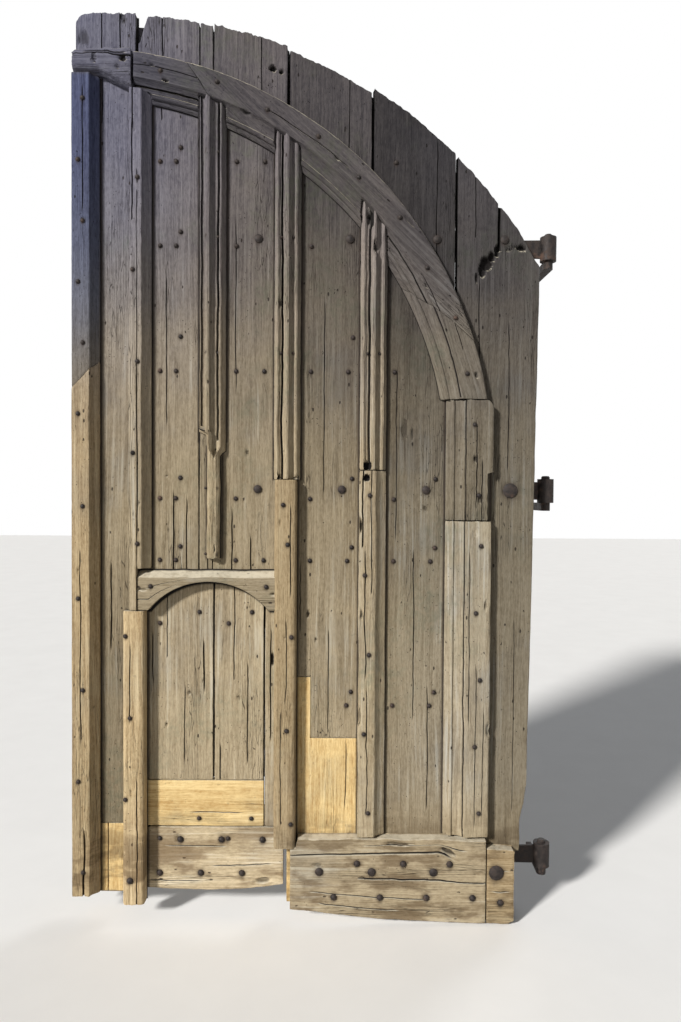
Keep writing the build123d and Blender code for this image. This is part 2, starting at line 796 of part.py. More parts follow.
ledges = {
    "ledge_bottom": ledge_span(hanging_post_right_x, bottom_ledge_z, hinge_ledge_height),
    "ledge_lower": ledge_span(hanging_post_right_x, lower_ledge_z, ledge_height),
    "ledge_header": ledge_span(meeting_post_right_x, header_ledge_z, ledge_height),
    "ledge_middle": ledge_span(meeting_post_right_x, middle_ledge_z, hinge_ledge_height),
    "ledge_waist": ledge_span(meeting_post_right_x, waist_ledge_z, waist_ledge_height),
    "ledge_upper": ledge_span(meeting_post_right_x, upper_ledge_z, ledge_height),
    "ledge_crown": ledge_span(meeting_post_right_x, crown_ledge_z, ledge_height),
}


def meets_arch(name):
    """Whether a ledge's right end runs into the frame's arch, not into the heel post."""
    x0, x1, z0, z1 = ledges[name]
    reach = math.hypot(x1 - board_arc_centre_x, z1 - board_arc_centre_z)
    return z1 > board_arc_centre_z and reach > frame_inner_radius


def ledge(name):
    """A cross member with a tenon at each post, or its end cut to the frame's arch."""
    x0, x1, z0, z1 = ledges[name]
    body = frame_block(x0, x1, z0, z1) + tenon(x0, -1, z0, z1)
    if meets_arch(name):
        return body & frame_disc(frame_inner_radius - ledge_fit)
    return body + tenon(x1, 1, z0, z1)


def mortises(x, outwards):
    """Mortises in the post whose face stands at x, for every ledge that meets it."""
    found = []
    for name, (x0, x1, z0, z1) in ledges.items():
        end = x1 if outwards > 0 else x0
        if abs(end - x) < 0.01 and not (outwards > 0 and meets_arch(name)):
            found.append(tenon(x, outwards, z0, z1, tenon_clearance))
    return found


def bolt_way(x0, x1):
    """The room that the bolt needs, with its clearance, between two places along it."""
    half = bolt_size / 2 + bolt_clearance
    return block(x0, x1, bolt_y - half, bolt_y + half, bolt_z - half, bolt_z + half)


def meeting_post():
    """Wide post behind the meeting edge, mortised for the ledges and for the wicket's bolt."""
    body = frame_block(meeting_post_left_x, meeting_post_right_x, post_foot_z, far)
    body &= frame_disc(frame_outer_radius)
    for cut in mortises(meeting_post_right_x, -1):
        body -= cut
    depth = bolt_travel - bolt_setback - keeper_thickness + bolt_socket_spare
    return body - bolt_way(meeting_post_right_x - depth, meeting_post_right_x + 1)


def hanging_post():
    """Post that the wicket hangs on, standing under the header ledge."""
    body = frame_block(hanging_post_left_x, hanging_post_right_x, post_foot_z, header_ledge_z)
    for cut in mortises(hanging_post_right_x, -1):
        body -= cut
    return body


def heel_post():
    """Post behind the hinge edge, its head cut to the frame's arch."""
    body = frame_block(heel_post_left_x, heel_post_right_x, post_foot_z, far) & frame_disc(frame_outer_radius)
    for cut in mortises(heel_post_left_x, 1):
        body -= cut
    return body


def frame_arch():
    """Curved member under the board heads, from the meeting post to the heel post."""
    ring = frame_disc(frame_outer_radius) - frame_disc(frame_inner_radius)
    return ring & frame_block(meeting_post_right_x, heel_post_left_x, rib_springing_z, far)


# Pintles and strap hinges

def wall_pintle(height):
    """Forged hook: an upright pin on the round end of a tail that runs back into the wall."""
    root, end = tail_width / 2, tail_end_width / 2
    tail = Polyline((-root, 0, -shoulder_z), (root, 0, -shoulder_z), (end, tail_length, -shoulder_z),
                    (-end, tail_length, -shoulder_z), close=True)
    body = extrude(make_face(tail), amount=tail_height, dir=(0, 0, 1))
    body += Cylinder(tail_width / 2, tail_height)
    pin_length = eye_height + seat_gap + pin_above_eye
    pin = Pos(0, 0, shoulder_z + pin_length / 2) * Cylinder(pin_radius, pin_length)
    pin = chamfer(pin.edges().filter_by(GeomType.CIRCLE).sort_by(Axis.Z)[-1], pin_nose)
    return Pos(0, 0, height) * (body + pin)


def strap_hinge(number):
    """Long strap tapering to a spear point, its other end forged round into an eye."""
    base = hinge_heights[number] + shoulder_z + seat_gap
    middle = base + eye_height / 2
    length = strap_lengths[number]
    root, tip = strap_root_height / 2, strap_tip_height / 2
    neck = length - strap_tip_length
    half = strap_thickness / 2
    plate = front_prism(
        [(0, middle - root), (0, middle + root), (-neck, middle + tip), (-neck - 14, middle + tip + 9),
         (-length, middle), (-neck - 14, middle - tip - 9), (-neck, middle - tip)],
        -half, half,
    )
    eye = Pos(0, 0, middle) * Cylinder(eye_radius, eye_height)
    bore = Pos(0, 0, middle) * Cylinder(pin_radius + pin_clearance, eye_height + 40)
    return plate + eye - bore


def strap_middle_z(number):
    """Height of a strap's centreline."""
    return hinge_heights[number] + shoulder_z + seat_gap + eye_height / 2


def rivet_places():
    """Every rivet as (strap number, x, z, face at the front)."""
    found = []
    for number, insets in enumerate(rivet_insets):
        front = rail_front_y if number == 0 else board_front_y
        for inset in insets + (strap_lengths[number] - rivet_from_tip,):
            found.append((number, -inset, strap_middle_z(number), front))
    return found


def punch_for_rivets(body):
    """Square rivet holes through whatever stands in a rivet's way."""
    box = body.bounding_box()
    half = rivet_shank / 2 + rivet_clearance
    for number, x, z, front in rivet_places():
        if box.min.X - half < x < box.max.X + half and box.min.Z - half < z < box.max.Z + half:
            body -= block(x - half, x + half, front - 5, strap_thickness / 2 + 5, z - half, z + half)
    return body


def hinge_rivets():
    """Square-shanked rivets through strap, frame and boards: faceted heads in front, square roves behind."""
    found = []
    back, half = strap_thickness / 2, rivet_shank / 2
    for number, x, z, front in rivet_places():
        shank = block(x - half, x + half, front, back, z - half, z + half)
        stud = number < 2 and -x == rivet_insets[number][0]
        head, rise = (stud_head, stud_rise) if stud else (rivet_head, rivet_rise)
        shank += faceted_head(x, front, z, head, -rise, 8)
        found.append(shank + faceted_head(x, back, z, rivet_head, rivet_rise, 4))
    return Compound(found)


# Nails

def nail(x, front_y, z, head, rise, bury):
    """A wrought nail: a four-sided rose head on a square shank drawn out to a point."""
    rose = faceted_head(x, front_y, z, head, -rise, 4)
    return rose + faceted_head(x, front_y, z, nail_shank, bury, 4)


def covered(x, z):
    """True where a moulding or a rivet covers the boards, so that no board nail shows there."""
    clear = nail_head / 2 + nail_clear
    if x < meeting_edge_x + stile_base_width + clear:
        return True
    radius = math.hypot(x - rib_centre_x, z - rib_springing_z)
    if z > rib_springing_z and rib_inner_radius - clear < radius < rib_radius + clear:
        return True
    if z <= jamb_head_z and jamb_outer_x - rib_width - clear < x < jamb_outer_x + clear:
        return True
    if any(x0 - clear < x < x1 + clear for x0, x1 in muntin_spans.values()):
        return True
    return any(math.hypot(x - rx, z - rz) < stud_head / 2 + clear for number, rx, rz, front in rivet_places())


def on_frame(x, z):
    """True where a nail through the boards lies inside the frame's arch."""
    radius = math.hypot(x - board_arc_centre_x, z - board_arc_centre_z)
    return z < board_arc_centre_z or radius < frame_inner_radius - nail_head


def ledge_nails():
    """Nails through the boards into each ledge above the rail, two staggered rows to a ledge."""
    found = []
    for name, (x0, x1, z0, z1) in ledges.items():
        if name == "ledge_bottom":
            continue
        for left, right in zip(board_edges, board_edges[1:]):
            inset = min(nail_edge_inset, (right - left) / 2)
            for row, z in ((-1, z0 + nail_row_inset), (1, z1 - nail_row_inset)):
                for side in (-1, 1):
                    x = (left + inset if side < 0 else right - inset) + row * side * nail_stagger / 2
                    if x0 < x < x1 and on_frame(x, z) and not covered(x, z):
                        found.append(nail(x, board_front_y, z, nail_head, nail_rise, nail_bury))
    return found


def muntin_nails():
    """Pairs of small nails in the moulded muntins' hollows, at the ledges behind them."""
    found = []
    side = (muntin_width / 2 - muntin_chamfer_width - muntin_fillet_width + muntin_nose_width / 2 + 1) / 2
    for number, x in muntin_xs.items():
        top = top_of_circle(x, ridge_radius, rib_centre_x, rib_springing_z)
        foot = {2: muntin_2_foot_z, 3: muntin_3_joint_z, 4: muntin_4_joint_z}[number]
        for name, (x0, x1, z0, z1) in ledges.items():
            z = (z0 + z1) / 2
            if foot + nail_head < z < top - muntin_width:
                for u in (-side, side):
                    found.append(nail(x + u, board_front_y - muntin_hollow_proud, z, muntin_nail_head,
                                      muntin_nail_rise, muntin_nail_bury))
    return found


def nail_column(x, low, high, count, proud, first_big=False):
    """Nails evenly up a member between two heights, staggered about x."""
    found = []
    for n in range(count):
        z = low + (high - low) * n / (count - 1)
        big = first_big and n == 0
        head, rise = (big_nail_head, big_nail_rise) if big else (nail_head, nail_rise)
        shift = nail_stagger / 2 * (-1 if n % 2 else 1)
        found.append(nail(x + shift, board_front_y - proud, z, head, rise, nail_bury))
    return found


def moulding_nails():
    """Nails along the stile, the plain members, the jamb and the rib's fascia."""
    end = column_inset
    stile_x = meeting_edge_x + stile_face_width / 2
    muntin_1_x = muntin_1_left_x + muntin_1_face_width / 2
    muntin_4_x = muntin_spans[4][0] + muntin_4_face_width / 2
    jamb_x = wicket_left_x - nail_edge_inset / 4
    post_x = repair_post_x + nail_edge_inset / 5
    fascia_x = jamb_outer_x - fascia_width / 2
    middle_proud = (rib_edge_proud + moulding_proud) / 2
    crown_z = rib_springing_z + ridge_radius - 3 * end
    columns = (
        (stile_x, stile_foot_z, stile_scarf_low_z, 6, moulding_proud + stile_repair_proud),
        (stile_x, stile_scarf_low_z + stile_scarf_rise, stile_head_z, 5, moulding_proud),
        (muntin_1_x, head_top_z, crown_z, 5, moulding_proud),
        (muntin_4_x, rail_top_z, muntin_4_joint_z, 5, moulding_proud),
        (post_x, repair_post_foot_z, wicket_jamb_head_z, 3, repair_proud),
        (repair_post_x, head_top_z, muntin_3_joint_z, 2, repair_proud),
        (fascia_x, rail_top_z, jamb_joint_z, 5, middle_proud),
        (fascia_x - jamb_notch_depth / 2, jamb_joint_z, jamb_head_z, 2, middle_proud),
    )
    found = nail_column(jamb_x, wicket_jamb_foot_z + end, wicket_jamb_head_z - end, 4, repair_proud, True)
    for x, low, high, count, proud in columns:
        found += nail_column(x, low + end, high - end, count, proud)
    first, last = crown_scarf_outer_deg + 3, haunch_scarf_outer_deg - 4
    for n in range(rib_nail_count):
        inset = fascia_width * (0.42 if n % 2 else 0.6)
        x, z = polar(rib_radius - inset, first + (last - first) * n / (rib_nail_count - 1))
        found.append(nail(x, board_front_y - middle_proud, z, nail_head, nail_rise, nail_bury))
    return found


def rail_nails():
    """Big rose-headed nails along the bottom rail, staggered in two rows about its split."""
    found = []
    low, high = rail_left_foot_z + 60, rail_split_z - 30
    start, end = rail_left_x + 90, rail_end_joint_x - 60
    clear = stud_head / 2 + big_nail_head
    for n in range(rail_nail_count):
        x, z = start + (end - start) * n / (rail_nail_count - 1), (low if n % 2 else high)
        if all(math.hypot(x - rx, z - rz) > clear for number, rx, rz, front in rivet_places()):
            found.append(nail(x, rail_front_y, z, big_nail_head, big_nail_rise, nail_bury))
    end_x = (rail_end_joint_x + rail_right_x) / 2
    found.append(nail(end_x, rail_front_y, low - 20, big_nail_head, big_nail_rise, nail_bury))
    return found


def wicket_head_nails():
    """One nail in each haunch of the wicket head, short of the wicket's boards behind it."""
    z = wicket_jamb_head_z + head_soffit_rise * 0.85
    inset = head_haunch_width + nail_head / 2
    bury = moulding_proud - head_setback - nail_shank
    places = (head_left_x + inset, head_right_x - inset)
    return [nail(x, head_front_y, z, nail_head, nail_rise, bury) for x in places]


def leaf_nails():
    """Every nail that shows on the leaf's weather face."""
    return Compound(ledge_nails() + muntin_nails() + moulding_nails() + rail_nails() + wicket_head_nails())


# Wicket door

def wicket_board(x0, x1, z0, z1):
    """One upright piece of the wicket's boarding."""
    return block(x0, x1, wicket_front_y, wicket_back_y, z0, z1)


def wicket_boards():
    """Two wide boards and a narrow one, the wide ones cut short over the new oak piece."""
    half = wicket_board_gap / 2
    left, right, top = wicket_board_left_x, wicket_board_right_x, wicket_top_z
    patch_low, patch_high = wicket_foot_board_top_z + 1, wicket_patch_top_z
    return {
        "wicket_board_left": wicket_board(left, wicket_joint_x - half, patch_high + 1, top),
        "wicket_board_middle": wicket_board(wicket_joint_x + half, wicket_strip_joint_x - half,
                                            patch_high + 1, top),
        "wicket_board_right": wicket_board(wicket_strip_joint_x + half, right, patch_low, top),
        "wicket_patch": wicket_board(left, wicket_strip_joint_x - half, patch_low, patch_high - 1),
    }


def wicket_foot_board():
    """Wide board along the wicket's foot, its lower edge worn to a shallow curve."""
    y = wicket_front_y
    left, right = wicket_board_left_x, wicket_board_right_x
    low, high = wicket_foot_z, wicket_foot_board_top_z - 1
    left_foot, right_foot = low + wicket_foot_wear * 0.4, low + wicket_foot_wear
    lines = [
        Line((left, y, left_foot), (left, y, high)),
        Line((left, y, high), (right, y, high)),
        Line((right, y, high), (right, y, right_foot)),
        ThreePointArc((right, y, right_foot), ((left + right) / 2, y, low), (left, y, left_foot)),
    ]
    return extrude(make_face(lines), amount=board_thickness, dir=(0, 1, 0))


def wicket_ledge(z0, height):
    """Cross ledge on the back of the wicket's boards, its arrises chamfered."""
    right = wicket_axis_x - wicket_eye_radius - 8
    left = wicket_board_left_x + wicket_ledge_end_gap
    body = block(left, right, wicket_back_y, wicket_ledge_back_y, z0, z0 + height)
    back = body.faces().sort_by(Axis.Y)[-1].edges().filter_by(Axis.X)
    return chamfer(back, 8)


wicket_ledges = (
    (wicket_ledge_low_z, wicket_ledge_low_height),
    (wicket_ledge_high_z, wicket_ledge_high_height),
)


def wicket_straps():
    """Two light straps on the wicket's ledges, with eyes on its pintles."""
    found = []
    for z0, height in wicket_ledges:
        middle = z0 + height / 2
        half_root, half_tip = wicket_strap_height / 2, wicket_strap_tip_height / 2
        x = wicket_axis_x
        tip = x - wicket_strap_length
        plate = front_prism([(x, middle - half_root), (x, middle + half_root), (tip + 30, middle + half_tip),
                             (tip, middle), (tip + 30, middle - half_tip)],
                            wicket_ledge_back_y, wicket_ledge_back_y + wicket_strap_thickness)
        place = Pos(x, wicket_axis_y, middle)
        eye = place * Cylinder(wicket_eye_radius, wicket_eye_height)
        bore = place * Cylinder(wicket_pin_radius + wicket_pin_clearance, wicket_eye_height + 20)
        found.append(plate + eye - bore)
    return Compound(found)


def wicket_pintles():
    """Two small hooks driven into the hanging post's face."""
    found = []
    for z0, height in wicket_ledges:
        base = z0 + height / 2 - wicket_eye_height / 2 - seat_gap
        half = wicket_tail_size / 2
        pin_length = wicket_eye_height + seat_gap + wicket_pin_above_eye
        axis = Pos(wicket_axis_x, wicket_axis_y, base)
        pin = axis * Pos(0, 0, pin_length / 2) * Cylinder(wicket_pin_radius, pin_length)
        tail = block(wicket_axis_x - half, hanging_post_left_x + wicket_tail_bury, wicket_axis_y - half,
                     wicket_axis_y + half, base - wicket_tail_size, base)
        found.append(pin + tail)
    return Compound(found)


def wicket_nails():
    """Nails through the wicket's boards into its ledges, and the foot board's big nails."""
    found = []
    columns = (wicket_board_left_x + nail_edge_inset, wicket_joint_x - 0.7 * nail_edge_inset,
               wicket_joint_x + 0.7 * nail_edge_inset, wicket_strip_joint_x - 0.6 * nail_edge_inset)
    for z0, height in wicket_ledges:
        for n, x in enumerate(columns):
            z = z0 + height - nail_row_inset if n % 2 else z0 + nail_row_inset
            bury = board_thickness + wicket_ledge_depth / 2
            found.append(nail(x, wicket_front_y, z, nail_head, nail_rise, bury))
    start, end = wicket_board_left_x + nail_edge_inset, wicket_board_right_x - nail_edge_inset
    for n in range(foot_nail_count):
        x = start + (end - start) * n / (foot_nail_count - 1)
        z = wicket_foot_board_top_z - (2 if n % 2 else 7) * nail_row_inset
        found.append(nail(x, wicket_front_y, z, big_nail_head, big_nail_rise, board_thickness - 4))
    return Compound(found)


def wicket_bolt():
    """Square sliding bolt, shown drawn back, with a flat thumb-piece to push it by."""
    half, grip = bolt_size / 2, thumb_width / 2
    low, high = bolt_z - half, bolt_z + half
    bar = block(bolt_tip_x, bolt_tip_x + bolt_length, bolt_y - half, bolt_y + half, low, high)
    bar = chamfer(bar.faces().sort_by(Axis.X)[0].edges(), bolt_size / 7)
    x = bolt_tip_x + staple_from_tip + staple_spacing / 2
    end = bolt_y + half + thumb_length
    thumb = block(x - grip, x + grip, bolt_y, end, bolt_z - grip, bolt_z + grip)
    return bar + chamfer(thumb.faces().sort_by(Axis.Y)[-1].edges(), thumb_width / 4)


def bolt_staples():
    """Two staples over the bolt, their legs driven into the wicket's board."""
    found = []
    inner = bolt_size / 2 + bolt_clearance
    outer = inner + staple_bar
    for n in range(2):
        x = bolt_tip_x + staple_from_tip + n * staple_spacing
        foot_y = wicket_back_y - staple_bury
        bow = block(x, x + staple_width, foot_y, bolt_y + outer, bolt_z - outer, bolt_z + outer)
        hole = block(x - 1, x + staple_width + 1, foot_y - 1, bolt_y + inner, bolt_z - inner, bolt_z + inner)
        found.append(bow - hole)
    return Compound(found)


def bolt_keeper():
    """Iron plate round the bolt's socket, on the meeting post's edge."""
    half = bolt_size / 2 + bolt_clearance
    tall = half + keeper_margin
    low_y, high_y = frame_front_y + 3, min(bolt_y + half + keeper_margin, frame_back_y)
    plate = block(meeting_post_right_x, keeper_face_x, low_y, high_y, bolt_z - tall, bolt_z + tall)
    return plate - bolt_way(meeting_post_right_x - 1, keeper_face_x + 1)


riveted = (
    "board_4", "board_5", "board_5_patch", "board_6", "board_7", "bottom_rail", "bottom_rail_end",
    "frame_arch", "heel_post", "hanging_post", "ledge_bottom", "ledge_middle", "ledge_upper",
    "strap_lower", "strap_middle", "strap_upper",
)


def pieces():
    """Every node's name and solid."""
    found = {
        "board_1": board_1(),
        "board_2": board_2(),
        "board_3": wicket_side_board(2),
        "board_4": wicket_side_board(3),
        "board_5": board_5(),
        "board_6": board_stock(5),
        "board_7": board_7(),
        "board_1_foot_left": board_1_foot_left(),
        "board_1_foot_right": board_1_foot_right(),
        "board_5_patch": board_5_patch(),
        "meeting_stile_upper": meeting_stile_upper(),
        "meeting_stile_lower": meeting_stile_lower(),
        "arch_crown_block": crown_block(),
        "rib_jamb_upper": rib_jamb_upper(),
        "rib_jamb_lower": rib_jamb_lower(),
        "muntin_1": muntin_1(),
        "muntin_2": muntin_2(),
        "muntin_3_upper": moulded_muntin(3, muntin_3_joint_z + 1),
        "muntin_3_foot": muntin_3_foot(),
        "muntin_4_upper": moulded_muntin(4, muntin_4_joint_z + 1),
        "muntin_4_lower": muntin_4_lower(),
        "wicket_jamb": wicket_jamb(),
        "wicket_head": wicket_head(),
        "bottom_rail": bottom_rail(),
        "bottom_rail_end": bottom_rail_end(),
        "meeting_post": meeting_post(),
        "hanging_post": hanging_post(),
        "heel_post": heel_post(),
        "frame_arch": frame_arch(),
        "hinge_rivets": hinge_rivets(),
        "leaf_nails": leaf_nails(),
        "wicket_foot_board": wicket_foot_board(),
        "wicket_ledge_low": wicket_ledge(*wicket_ledges[0]),
        "wicket_ledge_high": wicket_ledge(*wicket_ledges[1]),
        "wicket_straps": wicket_straps(),
        "wicket_pintles": wicket_pintles(),
        "wicket_nails": wicket_nails(),
        "wicket_bolt": wicket_bolt(),
        "bolt_staples": bolt_staples(),
        "bolt_keeper": bolt_keeper(),
    }
    found.update(rib_segments())
    found.update(wicket_boards())
    for name in ledges:
        found[name] = ledge(name)
    for number, place in enumerate(("lower", "middle", "upper")):
        found[f"pintle_{place}"] = wall_pintle(hinge_heights[number])
        found[f"strap_{place}"] = strap_hinge(number)
    for name in riveted:
        found[name] = punch_for_rivets(found[name])
    return found


os.makedirs("parts", exist_ok=True)
for node, shape in pieces().items():
    export_step(shape, f"parts/{node}.step")
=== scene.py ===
import itertools
import json
import math

import bpy
import numpy as np
from bpy.props import FloatProperty, FloatVectorProperty, IntProperty, PointerProperty
from mathutils import Euler, Matrix, Vector

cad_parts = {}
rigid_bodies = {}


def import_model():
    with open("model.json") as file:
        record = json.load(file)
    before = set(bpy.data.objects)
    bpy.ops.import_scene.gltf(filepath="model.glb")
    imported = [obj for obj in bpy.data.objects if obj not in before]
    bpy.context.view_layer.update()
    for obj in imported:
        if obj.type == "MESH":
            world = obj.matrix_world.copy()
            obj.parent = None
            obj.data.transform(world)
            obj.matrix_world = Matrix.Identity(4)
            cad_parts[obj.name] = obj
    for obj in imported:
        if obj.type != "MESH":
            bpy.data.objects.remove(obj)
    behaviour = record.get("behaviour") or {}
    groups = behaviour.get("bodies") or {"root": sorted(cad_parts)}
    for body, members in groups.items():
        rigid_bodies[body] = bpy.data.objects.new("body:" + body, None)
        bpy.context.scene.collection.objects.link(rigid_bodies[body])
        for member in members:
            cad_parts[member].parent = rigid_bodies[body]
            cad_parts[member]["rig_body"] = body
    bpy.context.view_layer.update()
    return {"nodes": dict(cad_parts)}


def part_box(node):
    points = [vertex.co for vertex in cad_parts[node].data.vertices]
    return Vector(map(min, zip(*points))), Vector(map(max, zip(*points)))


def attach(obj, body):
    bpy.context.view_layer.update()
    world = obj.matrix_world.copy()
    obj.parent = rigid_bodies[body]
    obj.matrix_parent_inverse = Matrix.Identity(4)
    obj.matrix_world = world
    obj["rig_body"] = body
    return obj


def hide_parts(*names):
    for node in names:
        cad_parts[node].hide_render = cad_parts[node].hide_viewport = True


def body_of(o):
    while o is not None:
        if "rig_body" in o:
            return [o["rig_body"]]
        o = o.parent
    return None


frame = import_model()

bl_info = {
    "name": "Arched Oak Gate Leaf",
    "version": (1, 0, 0),
    "blender": (4, 5, 0),
    "location": "View3D > Sidebar > Gate Leaf",
    "description": "Weathered oak, forged nails and rusty iron for an arched gate leaf with a wicket",
    "category": "Object",
}

MM = 0.001
FULL_TURN = 6.28
SHARP_WOOD, SHARP_IRON = math.radians(42), math.radians(50)

# Planes of the leaf in millimetres, and how far its mouldings stand off the boards
BOARD_FRONT, BOARD_BACK, FRAME_BACK, MOULDING = -126.0, -86.0, -6.0, 55.0

# Arcs, as centre across, centre up and radius. Places along an arc are degrees times ARC_STEP
BOARD_ARC = (-1931.0, 1672.0, 2148.0)
RIB_ARC = (-2054.0, 1857.0, 1778.0)
RIDGE_ARC = (*RIB_ARC[:2], 1662.0)
FASCIA, RIB_WIDTH, ARC_STEP = 116.0, 202.0, 30.0
FIRST_INSET = 44.0  # how far the first muntin stops short of the ridge

# Places across and heights where pieces meet
STILE_EDGE, HINGE_EDGE, JAMB_EDGE, PATCH_STEP = -2100.0, -65.0, -276.0, -1064.0
MUNTINS = (-1498.0, -1171.0, -795.0)
RAIL_TOP, JAMB_JOINT, JAMB_HEAD = 223.0, 1612.0, 2138.0
HEAD_SPAN, HEAD_FOOT, HEAD_TOP = (-1818.0, -1195.0), 1214.0, 1394.0
RAIL, TENON = 330.0, 55.0
HEAD_SHARE = 0.97  # a forged head's radius as a share of the head in the model

# Fineness of the plain wood on the back, and of the posts and ledges
PLAIN = {"step": 14.0, "along": 22.0, "back_step": 14.0}
POST = {"step": 12.0, "along": 22.0, "back_step": 12.0}

# Edges of the mouldings on the boards, along whose feet a dark line of shade is painted: across, from, to
MOULDING_EDGES = ((-1988, -90, 3520), (-1853, 1214, 3460), (-1762, 1396, 3460), (-1559, 1950, 3430),
                  (-1437, 1950, 3400), (-1456, 1436, 1930), (-1524, 1436, 1930), (-1231, 1787, 3330),
                  (-1110, 1787, 3280), (-1123, 173, 1785), (-855, 223, 3030), (-734, 223, 2920), (-478, 223, 2150),
                  (-276, 223, 2100), (-1880, -90, 1211), (-1782, -90, 1211))

# Cracks along the grain: across it, from, to, width, depth
CRACKS = {
    "board_1": ((-1945, 1010, 1440, 4, 12), (-1985, 3340, 3900, 3, 10), (-1905, 3500, 3900, 3, 14),
                (-2010, 600, 1300, 3, 6)),
    "board_2": ((-1670, 1350, 1750, 4, 14), (-1612, 1350, 1720, 3, 12), (-1722, 3350, 3900, 3, 9),
                (-1700, 2000, 2700, 3, 5)),
    "board_3": ((-1520, 1350, 2300, 3, 8),),
    "board_4": ((-1412, 1350, 1680, 4, 12), (-1330, 1350, 1560, 4, 14), (-1398, 2150, 2950, 3, 5),
                (-1290, 3250, 3750, 3, 8)),
    "board_5": ((-1110, 1080, 1450, 3, 9), (-848, 900, 1500, 5, 16), (-1010, 1700, 2600, 3, 6),
                (-985, 650, 1150, 3, 7), (-905, 3050, 3600, 3, 8)),
    "board_5_patch": ((-905, 300, 660, 3, 5),),
    "board_6": ((-610, 700, 1500, 3, 7), (-520, 2650, 3300, 3, 8), (-545, 300, 900, 3, 7), (-690, 1500, 2300, 3, 6)),
    "board_7": ((-246, 2790, 3500, 13, 34), (-200, 1800, 2500, 3, 8), (-160, 300, 1200, 3, 9),
                (-352, 2850, 3200, 3, 8), (-330, 2300, 2700, 3, 6)),
    "arch_rib_haunch": ((120, 300, 1100, 3, 8), (60, 500, 1000, 3, 8)),
    "arch_rib_middle": ((136, 700, 1300, 4, 10), (70, 1400, 1900, 3, 6), (100, 600, 900, 3, 7)),
    "arch_rib_crown": ((140, 2150, 2600, 5, 16), (60, 2200, 2500, 3, 7)),
    "rib_jamb_upper": ((-396, 1600, 2200, 4, 14), (-345, 1650, 2060, 4, 12), (-322, 1600, 1900, 3, 9)),
    "rib_jamb_lower": ((-398, 200, 1620, 3, 8), (-340, 240, 1000, 3, 9), (-372, 700, 1500, 3, 7),
                       (-306, 300, 800, 3, 8)),
    "arch_crown_block": ((96, -2150, -1795, 4, 14), (104, -2060, -1845, 3, 18)),
    "meeting_stile_upper": ((-2050, 2900, 3500, 3, 5),),
    "meeting_stile_lower": ((-2046, -60, 270, 6, 20), (-2060, 600, 1500, 3, 6)),
    "muntin_1": ((-1838, 2900, 3480, 3, 14), (-1815, 1500, 2300, 3, 5)),
    "muntin_2": ((-1541, 1960, 3700, 6, 22), (-1473, 1960, 3700, 9, 26)),
    "muntin_3_upper": ((-1194, 1780, 3400, 6, 22), (-1131, 1780, 3400, 4, 14)),
    "muntin_3_foot": ((-1150, 1250, 1700, 3, 7), (-1190, 250, 800, 3, 6), (-1168, 800, 1200, 3, 5)),
    "muntin_4_upper": ((-815, 1830, 3050, 6, 20), (-757, 1830, 2900, 3, 8)),
    "muntin_4_lower": ((-838, 1500, 1900, 5, 18), (-826, 900, 1500, 4, 12), (-800, 1300, 1900, 3, 8),
                       (-815, 300, 900, 3, 7)),
    "wicket_jamb": ((-1815, -90, 500, 3, 7), (-1845, 700, 1100, 3, 6)),
    "wicket_head": ((120, -1818, -1395, 3, 7), (60, -1838, -1628, 3, 8)),
    "bottom_rail": ((240, -1237, -412, 8, 18), (90, -1087, -507, 3, 8), (160, -847, -239, 4, 9),
                    (40, -1047, -647, 3, 8), (290, -847, -349, 4, 10)),
    "bottom_rail_end": ((140, -285, -163, 4, 10), (235, -285, -163, 3, 9)),
    "wicket_board_left": ((-1535, 820, 1100, 5, 16), (-1760, 850, 1130, 4, 12), (-1620, 500, 900, 3, 7),
                          (-1700, 1000, 1360, 3, 6)),
    "wicket_board_middle": ((-1463, 440, 640, 4, 12), (-1400, 900, 1360, 3, 8), (-1340, 500, 1000, 3, 7)),
    "wicket_board_right": ((-1240, 600, 1150, 4, 12), (-1215, 260, 600, 3, 8)),
    "wicket_patch": ((306, -1622, -1330, 3, 5),),
    "wicket_foot_board": ((200, -1732, -1402, 3, 7), (110, -1522, -1201, 4, 9), (40, -1792, -1522, 3, 7)),
    "meeting_post": ((-1950, 300, 1500, 4, 3),),
    "heel_post": ((-205, 300, 1500, 4, 3),),
}

